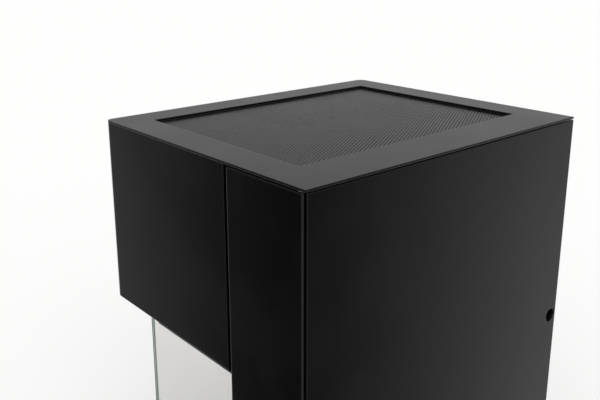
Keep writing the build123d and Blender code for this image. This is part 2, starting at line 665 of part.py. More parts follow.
def door_magnets():
    """Magnets on the column's front frame."""
    y = (FRAME_FRONT - MAGNET_DEPTH, FRAME_FRONT)
    return group(block(catch_x(), y, grown((z, z), MAGNET_SIZE)) for z in magnet_heights())


def door_strikes():
    """Steel strikes that stand up from the inside of the door to meet the magnets."""
    y = (FRONT + SHEET, FRAME_FRONT - MAGNET_DEPTH - MAGNET_AIR_GAP)
    return group(block(catch_x(), y, grown((z, z), MAGNET_SIZE)) for z in magnet_heights())


def door_seal():
    """Foam ring on the inside of the door that closes against the front frame."""
    x = (catch_x()[1] + CATCH_GAP, HINGE_X - DOOR_SEAL_FROM_HINGE)
    z = (DOOR_Z[0] + SHEET + DOOR_SEAL_END_GAP, DECK_UNDER)
    return rectangular_frame(x, (FRONT + SHEET, FRAME_FRONT - MAGNET_AIR_GAP), z, DOOR_SEAL_WIDTH, 1)


# ---- control fascia ----

def control_fascia():
    """Control panel set back in a tray that opens forward, below the door."""
    tray = block(FASCIA_X, (FRONT, FASCIA_FACE + SHEET), FASCIA_Z)
    tray -= block(grown(FASCIA_X, -SHEET), (FRONT - OVERCUT, FASCIA_FACE), grown(FASCIA_Z, -SHEET))
    through = (FASCIA_FACE - OVERCUT, FASCIA_FACE + SHEET + OVERCUT)
    tray -= disc(KNOB_X, through, FASCIA_MID_Z, KNOB_SHAFT_RADIUS + KNOB_HOLE_CLEARANCE)
    tray -= rocker_space(through, BEZEL_RIM / 2)
    for z in led_heights():
        tray -= disc(led_x(), through, z, LED_RADIUS)
    return tray


def rocker_space(y, margin):
    """Block round the rocker in the fascia, with a margin on its four sides."""
    half_width, half_height = ROCKER_WIDTH / 2 + margin, ROCKER_HEIGHT / 2 + margin
    return block(grown((ROCKER_X, ROCKER_X), half_width), y, grown((FASCIA_MID_Z, FASCIA_MID_Z), half_height))


def led_x():
    """Column of indicator lights, midway between the switch and the knob."""
    return (ROCKER_X + KNOB_X) / 2


def led_heights():
    """Heights of the indicator lights."""
    return [FASCIA_MID_Z + (index - (LED_COUNT - 1) / 2) * LED_PITCH for index in range(LED_COUNT)]


def status_leds():
    """Indicator lights with domed tips."""
    solids = []
    for z in led_heights():
        barrel = disc(led_x(), (FASCIA_FACE, FASCIA_FACE + LED_LENGTH), z, LED_RADIUS)
        solids.append(barrel + Pos(led_x(), FASCIA_FACE, z) * Sphere(LED_RADIUS))
    return group(solids)


def switch_body():
    """Frame and body of the power switch, with the axle that the rocker turns on."""
    rim = rocker_space((FASCIA_FACE - BEZEL_THICKNESS, FASCIA_FACE), BEZEL_RIM)
    body = rocker_space((FASCIA_FACE, FASCIA_FACE + SWITCH_DEPTH), BEZEL_RIM / 2)
    well_y = (FASCIA_FACE - BEZEL_THICKNESS - OVERCUT, FASCIA_FACE + SWITCH_DEPTH - SWITCH_FLOOR)
    well = rocker_space(well_y, ROCKER_GAP)
    axle_x = grown((ROCKER_X, ROCKER_X), ROCKER_WIDTH / 2 + BEZEL_RIM / 2)
    return rim + body - well + disc(axle_x, rocker_axis_y(), FASCIA_MID_Z, ROCKER_AXLE_RADIUS)


def rocker_axis_y():
    """Pivot of the rocker, behind the fascia."""
    return FASCIA_FACE + ROCKER_AXIS_DEPTH


def power_rocker():
    """Rocker of the power switch at rest in its off position: two faces that meet at the middle."""
    half = ROCKER_HEIGHT / 2 - ROCKER_END_GAP
    middle = -BEZEL_THICKNESS - ROCKER_CREST - ROCKER_AXIS_DEPTH
    end = middle - half * math.tan(math.radians(ROCKER_TILT))
    shoulder = half * ROCKER_SHOULDER
    profile = Polyline((middle, 0), (end, -half), (0, -shoulder), (ROCKER_KEEL, 0), (0, shoulder), (end, half),
                       (middle, 0))
    rocker = extrude(make_face(Plane.YZ * profile), (ROCKER_WIDTH - ROCKER_GAP) / 2, both=True)
    rocker -= disc(grown((0, 0), ROCKER_WIDTH), 0, 0, ROCKER_AXLE_RADIUS + RUNNING_FIT)
    return Pos(ROCKER_X, rocker_axis_y(), FASCIA_MID_Z) * Rot(ROCKER_TILT, 0, 0) * rocker


def speed_knob():
    """Fan-speed knob with a raised pointer rib, domed at its front edge."""
    y = (FASCIA_FACE - KNOB_STANDOFF - KNOB_LENGTH, FASCIA_FACE - KNOB_STANDOFF)
    knob = disc(KNOB_X, y, FASCIA_MID_Z, KNOB_RADIUS)
    knob = fillet(knob.edges().group_by(Axis.Y)[0], KNOB_EDGE_RADIUS)
    pointer = block(grown((KNOB_X, KNOB_X), POINTER_WIDTH / 2), (y[0] - POINTER_RAISE, y[0] + POINTER_SINK),
                    (FASCIA_MID_Z + POINTER_START, FASCIA_MID_Z + KNOB_RADIUS - POINTER_RIM_GAP))
    bore_y = (y[0] + KNOB_FRONT_WALL, y[1] + OVERCUT)
    return knob + pointer - disc(KNOB_X, bore_y, FASCIA_MID_Z, KNOB_SHAFT_RADIUS)


def knob_shaft():
    """Potentiometer shaft that the knob is pushed on to."""
    front = FASCIA_FACE - KNOB_STANDOFF - KNOB_LENGTH + KNOB_FRONT_WALL
    end = FASCIA_FACE + SHEET + POT_DEPTH - 2 * POT_BACK_WALL
    return disc(KNOB_X, (front, end), FASCIA_MID_Z, KNOB_SHAFT_RADIUS)


def potentiometer():
    """Body of the speed control, fixed behind the fascia."""
    y = (FASCIA_FACE + SHEET, FASCIA_FACE + SHEET + POT_DEPTH)
    body = disc(KNOB_X, y, FASCIA_MID_Z, POT_RADIUS)
    bore_y = (y[0] - OVERCUT, y[1] - POT_BACK_WALL)
    return body - disc(KNOB_X, bore_y, FASCIA_MID_Z, KNOB_SHAFT_RADIUS + RUNNING_FIT)


def control_board():
    """Circuit board behind the fascia, standing on the base, with its relay and terminal block."""
    y = FASCIA_FACE + SHEET + SWITCH_DEPTH + BOARD_BEHIND_SWITCH
    x = (FASCIA_X[0] + BOARD_LEFT_GAP, RIGHT - COVER_FLANGE - BOARD_COVER_GAP)
    board = block(x, (y, y + BOARD_THICKNESS), (FLOOR, FASCIA_Z[1] - BOARD_TOP_GAP))
    parts = ((ROCKER_X - RELAY_LEFT_OF_SWITCH, RELAY_SIZE), (KNOB_X - TERMINAL_LEFT_OF_KNOB, TERMINAL_SIZE))
    back, low = y + BOARD_THICKNESS, FASCIA_Z[0] + BOARD_TOP_GAP
    for left, size in parts:
        board += block((left, left + size[0]), (back, back + size[1]), (low, low + size[2]))
    return board


# ---- glazing ----

def visor_glass():
    """Front pane, hung under the hood and set in from its face."""
    pane = block(VISOR_X, (VISOR_FRONT, VISOR_BACK), VISOR_Z)
    return chamfer(pane.edges().filter_by(Axis.Z), GLASS_CHAMFER)


def visor_top_rail():
    """Rail that grips the top of the pane and turns on the pins."""
    rail = disc(RAIL_X, VISOR_AXIS_Y, VISOR_AXIS_Z, VISOR_RAIL_RADIUS)
    neck_y = (VISOR_FRONT - VISOR_RAIL_WALL, VISOR_BACK + VISOR_RAIL_WALL)
    rail += block(RAIL_X, neck_y, (VISOR_Z[1] - VISOR_RAIL_BITE, VISOR_AXIS_Z))
    slot_z = (VISOR_Z[1] - VISOR_RAIL_BITE - OVERCUT, VISOR_Z[1])
    rail -= block(grown(RAIL_X, OVERCUT), (VISOR_FRONT, VISOR_BACK), slot_z)
    left_bore = (RAIL_X[0] - OVERCUT, RAIL_X[0] + VISOR_PIN_ENGAGEMENT + OVERCUT)
    right_bore = (RAIL_X[1] - VISOR_PIN_ENGAGEMENT - OVERCUT, RAIL_X[1] + OVERCUT)
    for bore in (left_bore, right_bore):
        rail -= disc(bore, VISOR_AXIS_Y, VISOR_AXIS_Z, VISOR_PIN_RADIUS + RUNNING_FIT)
    return rail


def visor_brackets():
    """Two blocks under the ceiling, rounded below, that hold the pins."""
    solids = []
    for x in (BRACKET_LEFT_X, BRACKET_RIGHT_X):
        bracket = disc(x, VISOR_AXIS_Y, VISOR_AXIS_Z, BRACKET_RADIUS)
        bracket += block(x, grown((VISOR_AXIS_Y, VISOR_AXIS_Y), BRACKET_RADIUS), (VISOR_AXIS_Z, CEILING))
        front = FRONT + HOOD_LIP
        bracket -= block(grown(x, OVERCUT), (front - BRACKET_RADIUS, front + BRACKET_LIP_GAP),
                         (HOOD_BOTTOM - BRACKET_LIP_GAP, CEILING + OVERCUT))
        solids.append(bracket - disc(grown(x, OVERCUT), VISOR_AXIS_Y, VISOR_AXIS_Z, VISOR_PIN_RADIUS))
    return group(solids)


def visor_pins():
    """Pins held in the brackets that the rail turns on."""
    left = (BRACKET_LEFT_X[0], RAIL_X[0] + VISOR_PIN_ENGAGEMENT)
    right = (RAIL_X[1] - VISOR_PIN_ENGAGEMENT, BRACKET_RIGHT_X[1])
    return group(disc(x, VISOR_AXIS_Y, VISOR_AXIS_Z, VISOR_PIN_RADIUS) for x in (left, right))


def visor_pull():
    """Rail along the pane's lower edge with a forward lip to lift it by."""
    z = (VISOR_Z[0] - PULL_WALL, VISOR_Z[0] - PULL_WALL + PULL_HEIGHT)
    x = (SIDE_GLASS_X[1] + 2 * SEAL_WALL, VISOR_X[1])
    rail = block(x, (VISOR_FRONT - PULL_WALL, VISOR_BACK + PULL_WALL), z)
    lip = block(x, (VISOR_FRONT - PULL_DEPTH, VISOR_FRONT), (z[0], z[0] + PULL_LIP_THICKNESS))
    lip = fillet(lip.edges().filter_by(Axis.X).group_by(Axis.Y)[0], PULL_LIP_RADIUS)
    return rail + lip - block(grown(VISOR_X, OVERCUT), (VISOR_FRONT, VISOR_BACK), (VISOR_Z[0], z[1] + OVERCUT))


def side_glass():
    """Fixed pane that closes the left of the work zone."""
    pane = block(SIDE_GLASS_X, SIDE_GLASS_Y, SIDE_GLASS_Z)
    return chamfer(pane.edges().filter_by(Axis.Z), GLASS_CHAMFER)


def side_glass_seal():
    """Rubber channel round the bottom, back and top of the side pane."""
    x = grown(SIDE_GLASS_X, SEAL_WALL)
    y = (SIDE_GLASS_Y[0] + SEAL_SHORTER, BACK_INNER)
    outer = block(x, y, (FLOOR, HOOD_BOTTOM))
    outer -= block(grown(x, OVERCUT), (y[0] - OVERCUT, SIDE_GLASS_Y[1] - SEAL_BITE),
                   (SIDE_GLASS_Z[0] + SEAL_BITE, SIDE_GLASS_Z[1] - SEAL_BITE))
    return outer - block(SIDE_GLASS_X, (SIDE_GLASS_Y[0] - OVERCUT, SIDE_GLASS_Y[1]), SIDE_GLASS_Z)


# ---- filters ----

def cassette_frame(x):
    """Card frame of a filter cassette, open on its two broad faces."""
    return rectangular_frame(x, FILTER_Y, FILTER_Z, FILTER_FRAME, 0)


def cassette_mat():
    """Coarse pre-filter mat, which stands against the slotted wall without a frame."""
    return block(PREFILTER_X, FILTER_Y, FILTER_Z)


def carbon_core():
    """Bed of carbon granules inside the carbon cassette, set in from its two broad faces."""
    rim = FILTER_FRAME
    return block(grown(CARBON_X, -CORE_INSET), grown(FILTER_Y, -rim), grown(FILTER_Z, -rim))


def particle_pleats():
    """Pleated pack of the particle filter: one zigzag sheet standing on edge."""
    rim = FILTER_FRAME + CORE_GAP
    low, high = grown(FILTER_Y, -rim)
    count = int((high - low) // PLEAT_PITCH)
    near, far = grown(PARTICLE_X, -CORE_INSET)
    front_line = [(near if fold % 2 == 0 else far - PLEAT_THICKNESS, low + fold * PLEAT_PITCH / 2)
                  for fold in range(2 * count + 1)]
    back_line = [(x + PLEAT_THICKNESS, y) for x, y in reversed(front_line)]
    pack = make_face(Polyline(*front_line, *back_line, front_line[0]))
    return extrude(Pos(0, 0, FILTER_Z[0] + rim) * pack, FILTER_Z[1] - FILTER_Z[0] - 2 * rim)


# ---- fan ----

def nozzle_radius():
    """Outer radius of the inlet nozzle, just inside the impeller's eye."""
    return IMPELLER_EYE_RADIUS - NOZZLE_CLEARANCE


def inlet_nozzle():
    """Flanged inlet nozzle in the fan deck, flared at its mouth, that reaches into the impeller's eye."""
    outer = nozzle_radius()
    flange = disc(FAN_X, FAN_Y, (DECK_TOP, DECK_TOP + NOZZLE_WALL), NOZZLE_FLANGE_RADIUS)
    tube = disc(FAN_X, FAN_Y, (DECK_UNDER, THROAT_UNDER + NOZZLE_OVERLAP), outer)
    bore = disc(FAN_X, FAN_Y, (DECK_UNDER - OVERCUT, HUB_TOP), outer - NOZZLE_WALL)
    return flange + tube - bore


def blade():
    """One backward-curved blade, from the eye to the rim, in plan round the fan's axis."""
    sweep = math.radians(BLADE_SWEEP)
    start = Vector(BLADE_ROOT_RADIUS, 0)
    tip_radius = IMPELLER_RADIUS - BLADE_TIP_INSET
    end = Vector(tip_radius * math.cos(sweep), tip_radius * math.sin(sweep))
    chord = end - start
    bulge = Vector(chord.Y, -chord.X).normalized() * chord.length * BLADE_BOW
    camber = ThreePointArc(start, (start + end) * 0.5 + bulge, end)
    plan = Pos(0, 0, SHROUD_TOP - BLADE_BITE) * trace(camber, BLADE_THICKNESS)
    return extrude(plan, BLADE_HEIGHT + 2 * BLADE_BITE)


def impeller():
    """Moulded plug-fan impeller: hub plate above, shroud with its eye below, blades between."""
    hub = ring(0, 0, (HUB_UNDER, HUB_TOP), IMPELLER_RADIUS, ROTOR_RADIUS + RUNNING_FIT)
    shroud = ring(0, 0, (SHROUD_UNDER, SHROUD_TOP), IMPELLER_RADIUS, IMPELLER_EYE_RADIUS)
    throat = ring(0, 0, (THROAT_UNDER, SHROUD_TOP), IMPELLER_EYE_RADIUS + WHEEL_PLATE, IMPELLER_EYE_RADIUS)
    blades = [Rot(0, 0, 360 / BLADE_COUNT * index) * blade() for index in range(BLADE_COUNT)]
    wheel = hub + shroud + throat + blades
    return Pos(FAN_X, FAN_Y, 0) * wheel


def motor_rotor():
    """Outer rotor can of the motor, with the flange that the impeller's hub is fixed to."""
    can_z = (ROTOR_UNDER, ROTOR_UNDER + ROTOR_HEIGHT)
    can = disc(FAN_X, FAN_Y, can_z, ROTOR_RADIUS)
    can += disc(FAN_X, FAN_Y, (HUB_UNDER - ROTOR_FLANGE_THICKNESS, HUB_UNDER), ROTOR_FLANGE_RADIUS)
    can -= disc(FAN_X, FAN_Y, (ROTOR_UNDER + ROTOR_WALL, can_z[1] + OVERCUT), ROTOR_RADIUS - ROTOR_WALL)
    bore_z = (ROTOR_UNDER - OVERCUT, ROTOR_UNDER + ROTOR_WALL + OVERCUT)
    return can - disc(FAN_X, FAN_Y, bore_z, MOTOR_SHAFT_RADIUS)


def motor_shaft():
    """Shaft pressed into the rotor can."""
    return disc(FAN_X, FAN_Y, (ROTOR_UNDER, MOTOR_TOP - SHAFT_END_GAP), MOTOR_SHAFT_RADIUS)


def tube_z():
    """Height range of the motor's bearing tube."""
    return (ROTOR_UNDER + ROTOR_WALL + TUBE_AIR_GAP, MOTOR_TOP)


def motor_stator():
    """Fixed flange of the motor, with the tube for the bearings and the wound core round the tube."""
    base = disc(0, 0, (MOTOR_TOP - MOTOR_BASE_HEIGHT, MOTOR_TOP), MOTOR_BASE_RADIUS)
    core_z = (tube_z()[0] + STATOR_AIR_GAP, tube_z()[0] + STATOR_AIR_GAP + STATOR_HEIGHT)
    core = disc(0, 0, tube_z(), MOTOR_TUBE_RADIUS) + disc(0, 0, core_z, STATOR_RADIUS - STATOR_TOOTH)
    tooth = block((MOTOR_TUBE_RADIUS, STATOR_RADIUS), grown((0, 0), STATOR_TOOTH_WIDTH / 2), core_z)
    teeth = [Rot(0, 0, 360 / STATOR_TEETH * index) * tooth for index in range(STATOR_TEETH)]
    stator = base + core + teeth - disc(0, 0, grown(tube_z(), OVERCUT), BEARING_RADIUS)
    return Pos(FAN_X, FAN_Y, 0) * stator


def motor_bearings():
    """Two ball bearings in the tube, here as plain rings with a running bore."""
    low, high = tube_z()
    spans = ((low, low + BEARING_WIDTH), (high - BEARING_WIDTH, high))
    return group(ring(FAN_X, FAN_Y, span, BEARING_RADIUS, MOTOR_SHAFT_RADIUS + RUNNING_FIT) for span in spans)


def motor_bridge():
    """Inverted strap over the impeller that the motor hangs from."""
    x = grown((FAN_X, FAN_X), BRIDGE_WIDTH / 2)
    top = (MOTOR_TOP, MOTOR_TOP + SHEET)
    foot = (DECK_TOP + MOUNT_HEIGHT, DECK_TOP + MOUNT_HEIGHT + SHEET)
    strap = block(x, grown((FAN_Y, FAN_Y), BRIDGE_Y + SHEET), top)
    for side in (-1, 1):
        inner, outer = FAN_Y + side * BRIDGE_Y, FAN_Y + side * (BRIDGE_Y + SHEET)
        end = FAN_Y + side * (BRIDGE_Y + BRIDGE_FOOT)
        strap += block(x, (min(inner, outer), max(inner, outer)), (foot[0], top[1]))
        strap += block(x, (min(inner, end), max(inner, end)), foot)
    return strap


def bridge_mounts():
    """Rubber buffers between the bridge's feet and the deck."""
    solids = []
    for side in (-1, 1):
        y = FAN_Y + side * (BRIDGE_Y + BRIDGE_FOOT / 2)
        solids += [disc(FAN_X + dx, y, (DECK_TOP, DECK_TOP + MOUNT_HEIGHT), MOUNT_RADIUS)
                   for dx in (-BRIDGE_WIDTH / 4, BRIDGE_WIDTH / 4)]
    return group(solids)


# ---- lamp, power supply and mains inlet ----

def lamp_space(z, margin):
    """Block round the lamp in the work zone's ceiling, with a margin on its four sides."""
    x = grown(VISOR_X, margin - LAMP_SIDE_GAP)
    y = (FRONT + LAMP_FROM_FRONT - margin, FRONT + LAMP_FROM_FRONT + LAMP_WIDTH + margin)
    return block(x, y, z)


def lamp_diffuser():
    """Opal window of the lamp, its rim below the ceiling and its body up through the cut-out."""
    rim = lamp_space((CEILING - LAMP_RIM_THICKNESS, CEILING), LAMP_RIM)
    body = lamp_space((CEILING, CEILING + LAMP_DEPTH), -LAMP_FIT)
    return rim + body


def power_supply():
    """Enclosed power supply on the floor of the base."""
    low_z = FOOT_HEIGHT + SHEET + SUPPLY_STANDOFF
    x = grown((INLET_X, INLET_X), SUPPLY_SIZE[0] / 2)
    case = block(x, grown((0, 0), SUPPLY_SIZE[1] / 2), (low_z, low_z + SUPPLY_SIZE[2]))
    for dx, dy in ((-1, -1), (-1, 1), (1, -1), (1, 1)):
        post_x = INLET_X + dx * (SUPPLY_SIZE[0] / 2 - SUPPLY_POST_INSET)
        post_y = dy * (SUPPLY_SIZE[1] / 2 - SUPPLY_POST_INSET)
        case += disc(post_x, post_y, (FOOT_HEIGHT + SHEET, low_z), SUPPLY_POST_RADIUS)
    return case


def mains_inlet():
    """Recessed three-blade appliance inlet, fixed from inside the base's back wall."""
    def plate(size, y):
        return block(grown((INLET_X, INLET_X), size[0] / 2), y, grown((INLET_Z, INLET_Z), size[1] / 2))
    flange = plate(INLET_FLANGE, (BACK_INNER - INLET_FLANGE_THICKNESS, BACK_INNER))
    shroud = plate((INLET_FACE[0] - INLET_FIT, INLET_FACE[1] - INLET_FIT), (BACK_INNER, BACK))
    body = plate(INLET_FACE, (BACK - INLET_BODY_DEPTH, BACK_INNER))
    cavity = plate(INLET_CAVITY, (BACK - INLET_CAVITY_DEPTH, BACK + OVERCUT))
    corners = cavity.edges().filter_by(Axis.Y).group_by(Axis.Z)[0]
    inlet = flange + shroud + body - chamfer(corners, INLET_CHAMFER)
    blade_y = (BACK - INLET_CAVITY_DEPTH - INLET_PIN_ROOT, BACK - INLET_CAVITY_DEPTH + INLET_PIN_LENGTH)
    for dx, dz in ((-INLET_PIN_PITCH / 2, -INLET_EARTH_OFFSET / 2), (0.0, INLET_EARTH_OFFSET / 2),
                   (INLET_PIN_PITCH / 2, -INLET_EARTH_OFFSET / 2)):
        x, z = INLET_X + dx, INLET_Z + dz
        inlet += block(grown((x, x), INLET_PIN[0] / 2), blade_y, grown((z, z), INLET_PIN[1] / 2))
    return inlet


# ---- fasteners ----

def case_screw_places():
    """Centres (x, z) of the screws in the two back panels."""
    xs = (SIDE_GLASS_X[0] + CASE_SCREW_MARGIN, COLUMN_LEFT - CASE_SCREW_MARGIN, COLUMN_LEFT + CASE_SCREW_MARGIN)
    heights = (FLOOR + CASE_SCREW_MARGIN, HOOD_BOTTOM - CASE_SCREW_MARGIN)
    return [(x, z) for x in xs for z in heights]


def case_screw(x, z):
    """A countersunk screw, flush with the back."""
    drop = CASE_SCREW_HEAD_RADIUS - CASE_SCREW_RADIUS
    head = Pos(x, BACK - drop / 2, z) * Rot(90, 0, 0) * Cone(CASE_SCREW_HEAD_RADIUS, CASE_SCREW_RADIUS, drop)
    return head + disc(x, (BACK - CASE_SCREW_LENGTH, BACK - drop), z, CASE_SCREW_RADIUS)


def case_screws():
    """Countersunk screws of the back panels."""
    return group(case_screw(x, z) for x, z in case_screw_places())


def screwed(panel):
    """A back panel with its countersunk holes cut."""
    for x, z in case_screw_places():
        panel -= case_screw(x, z)
    return panel


PIECES = {
    "base_pan": base_pan(),
    "base_plate": base_plate(),
    "rubber_feet": feet(),
    "foot_screws": foot_screws(),
    "work_mat": work_mat(),
    "hood_shell": hood_shell(),
    "hood_floor": hood_floor(),
    "top_frame": top_frame(),
    "grille_seat": grille_seat(),
    "exhaust_grille": exhaust_grille(),
    "work_back_panel": screwed(work_back_panel()),
    "column_wall": column_wall(),
    "column_back_panel": screwed(column_back_panel()),
    "column_front_frame": column_front_frame(),
    "bay_shelves": bay_shelves(),
    "fan_deck": fan_deck(),
    "side_cover": side_cover(),
    "lock_housing": lock_housing(),
    "lock_barrel": lock_barrel(),
    "lock_cam": lock_cam(),
    "lock_keeper": lock_keeper(),
    "service_door": service_door(),
    "door_bush": door_bush(),
    "hinge_sleeve": hinge_sleeve(),
    "hinge_pins": hinge_pins(),
    "door_magnets": door_magnets(),
    "door_strikes": door_strikes(),
    "door_seal": door_seal(),
    "control_fascia": control_fascia(),
    "status_leds": status_leds(),
    "switch_body": switch_body(),
    "power_rocker": power_rocker(),
    "speed_knob": speed_knob(),
    "knob_shaft": knob_shaft(),
    "potentiometer": potentiometer(),
    "control_board": control_board(),
    "visor_glass": visor_glass(),
    "visor_top_rail": visor_top_rail(),
    "visor_brackets": visor_brackets(),
    "visor_pins": visor_pins(),
    "visor_pull": visor_pull(),
    "side_glass": side_glass(),
    "side_glass_seal": side_glass_seal(),
    "prefilter_mat": cassette_mat(),
    "particle_frame": cassette_frame(PARTICLE_X),
    "particle_pleats": particle_pleats(),
    "carbon_frame": cassette_frame(CARBON_X),
    "carbon_core": carbon_core(),
    "inlet_nozzle": inlet_nozzle(),
    "impeller": impeller(),
    "motor_rotor": motor_rotor(),
    "motor_shaft": motor_shaft(),
    "motor_stator": motor_stator(),
    "motor_bearings": motor_bearings(),
    "motor_bridge": motor_bridge(),
    "bridge_mounts": bridge_mounts(),
    "lamp_diffuser": lamp_diffuser(),
    "power_supply": power_supply(),
    "mains_inlet": mains_inlet(),
    "case_screws": case_screws(),
}

os.makedirs("parts", exist_ok=True)
for name, piece in PIECES.items():
    export_step(piece, f"parts/{name}.step")
print(len(PIECES), "pieces written")
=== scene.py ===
# %% [markdown]
# # A bench-top solder fume extractor
#
# The real object is a small cabinet that stands on the workbench. Its hood holds a fan under a
# perforated sheet, a column on the right holds the filters behind a narrow door, and two panes of
# glass close the space where the soldering is done. This lesson loads the finished mechanical
# parts, gives each of them its finish, and makes the few pieces whose fine detail would be
# heavy to model in CAD.

import math

import bmesh
import bpy
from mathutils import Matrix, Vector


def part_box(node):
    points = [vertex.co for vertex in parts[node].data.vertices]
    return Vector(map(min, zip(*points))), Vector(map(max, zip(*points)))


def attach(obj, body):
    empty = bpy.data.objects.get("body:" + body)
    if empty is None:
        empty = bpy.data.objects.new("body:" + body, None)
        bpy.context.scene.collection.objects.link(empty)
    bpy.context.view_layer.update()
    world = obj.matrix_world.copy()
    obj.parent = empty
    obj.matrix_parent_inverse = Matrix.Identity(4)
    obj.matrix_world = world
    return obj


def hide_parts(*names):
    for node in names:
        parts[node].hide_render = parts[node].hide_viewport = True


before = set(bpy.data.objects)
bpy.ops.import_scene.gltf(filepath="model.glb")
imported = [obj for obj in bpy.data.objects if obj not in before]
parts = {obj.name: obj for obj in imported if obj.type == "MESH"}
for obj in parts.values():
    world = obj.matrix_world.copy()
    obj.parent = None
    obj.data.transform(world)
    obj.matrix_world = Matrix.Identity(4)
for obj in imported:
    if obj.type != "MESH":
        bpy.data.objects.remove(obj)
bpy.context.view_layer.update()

# %% [markdown]
# ## Camera
#
# The cabinet is seen from its front right corner, from a little above. A camera that looks down
# makes upright edges lean together, so part of the look down is made with lens shift instead, as
# an architect's camera does. Angles are easier to read than a rotation matrix, so the camera is
# turned with a pitch and a yaw.

# %% Camera
CAMERA_PLACE = (0.5232, -0.5130, 0.6231)
CAMERA_PITCH = math.radians(15.159)
CAMERA_YAW = math.radians(48.816)
CAMERA_LENS = 44.807
CAMERA_SENSOR = 36.0
CAMERA_SHIFT = -0.08


def put(name, data):
    """A new object with its data, linked to the scene."""
    made = bpy.data.objects.new(name, data)
    bpy.context.scene.collection.objects.link(made)
    return made


camera_data = bpy.data.cameras.new("camera")
camera_data.lens = CAMERA_LENS
camera_data.sensor_width = CAMERA_SENSOR
camera_data.shift_y = CAMERA_SHIFT
camera_data.clip_start = 0.01
camera = put("camera", camera_data)
camera.location = CAMERA_PLACE
camera.rotation_euler = (math.pi / 2 - CAMERA_PITCH, 0.0, CAMERA_YAW)
bpy.context.scene.camera = camera
bpy.context.scene.view_settings.view_transform = "Standard"
print("camera", CAMERA_PLACE, "lens", CAMERA_LENS)

# %% [markdown]
# ## Small helpers for nodes
#
# Every material, the light and every Geometry Nodes tree below is a graph of nodes. Adding a node
# always takes the same few lines, so one helper adds a node, sets its properties and fills its
# inputs. An input may be given a plain value or another node's output, and then it is linked.

# %% Node helpers
def add(tree, kind, inputs=None, **properties):
    """Adds a node; inputs maps an input's name or number to a value or to an output socket."""
    made = tree.nodes.new(kind)
    for name, value in properties.items():
        setattr(made, name, value)
    for key, value in (inputs or {}).items():
        socket = made.inputs[key]
        if isinstance(value, bpy.types.NodeSocket):
            tree.links.new(value, socket)
        else:
            socket.default_value = value
    return made


def maths(tree, operation, first, second=0.0, third=0.0):
    """One Math node; returns its output."""
    kind = "ShaderNodeMath"
    return add(tree, kind, {0: first, 1: second, 2: third}, operation=operation).outputs[0]


def vector_maths(tree, operation, first, second=(0.0, 0.0, 0.0)):
    """One Vector Math node; returns the node, because some operations use its Value output."""
    return add(tree, "ShaderNodeVectorMath", {0: first, 1: second}, operation=operation)


def times(tree, first, second):
    """The product of two numbers or outputs."""
    return maths(tree, "MULTIPLY", first, second)


def vector(tree, x=0.0, y=0.0, z=0.0):
    """A vector from three numbers or outputs."""
    return add(tree, "ShaderNodeCombineXYZ", {0: x, 1: y, 2: z}).outputs[0]


def scaled(tree, place, factor):
    """A vector times a number."""
    return add(tree, "ShaderNodeVectorMath", {0: place, "Scale": factor}, operation="SCALE").outputs["Vector"]


def feed(tree, socket, *sources):
    """Links several outputs to one input that takes more than one."""
    for source in sources:
        tree.links.new(source, socket)


def remap(tree, value, low, high, to_low, to_high):
    """Maps low..high to to_low..to_high, clamped, with a soft start and end."""
    inputs = {"Value": value, "From Min": low, "From Max": high, "To Min": to_low, "To Max": to_high}
    return add(tree, "ShaderNodeMapRange", inputs, interpolation_type="SMOOTHSTEP").outputs["Result"]


def noise(tree, place, size, detail=2.0, roughness=0.5):
    """Noise from 0 to 1 whose lumps are about size metres wide."""
    scale = maths(tree, "DIVIDE", 1.0, size)
    inputs = {"Vector": place, "Scale": scale, "Detail": detail, "Roughness": roughness}
    return add(tree, "ShaderNodeTexNoise", inputs).outputs["Fac"]


def blend_colour(tree, factor, first, second):
    """Mixes two colours, each an output or three numbers, and returns the colour output."""
    first, second = ((*colour, 1.0) if isinstance(colour, tuple) else colour for colour in (first, second))
    return add(tree, "ShaderNodeMix", {0: factor, 6: first, 7: second}, data_type="RGBA").outputs[2]


# %% [markdown]
# ## Floor and light
#
# Dark satin paint is hardly seen by its own colour: what shows is the room mirrored in it. So the
# light is a large pale backdrop behind and beside the cabinet and a darker room at its sides, which
# turns the top plate grey and leaves the front nearly black. A pale wall straight in front keeps
# the shapes readable when the cabinet is looked at square on. The sky dome holds that room. The
# floor is a plain pale sheet, and a broad soft sun overhead keeps it evenly light.

# %% Floor
FLOOR_HALF = 40.0
FLOOR_COLOUR = (0.86, 0.86, 0.855)
FLOOR_ROUGHNESS = 0.9

floor_mesh = bpy.data.meshes.new("floor")
floor_corners = [(x * FLOOR_HALF, y * FLOOR_HALF, 0.0) for x, y in ((-1, -1), (1, -1), (1, 1), (-1, 1))]
floor_mesh.from_pydata(floor_corners, [], [(0, 1, 2, 3)])
floor = put("floor", floor_mesh)
floor.visible_glossy = False

floor_finish = bpy.data.materials.new("floor_paper")
floor_finish.use_nodes = True
floor_shader = floor_finish.node_tree.nodes["Principled BSDF"]
floor_shader.inputs["Base Color"].default_value = (*FLOOR_COLOUR, 1.0)
floor_shader.inputs["Roughness"].default_value = FLOOR_ROUGHNESS
floor_shader.inputs["Specular IOR Level"].default_value = 0.0
floor_mesh.materials.append(floor_finish)
print("floor", 2 * FLOOR_HALF, "m square")

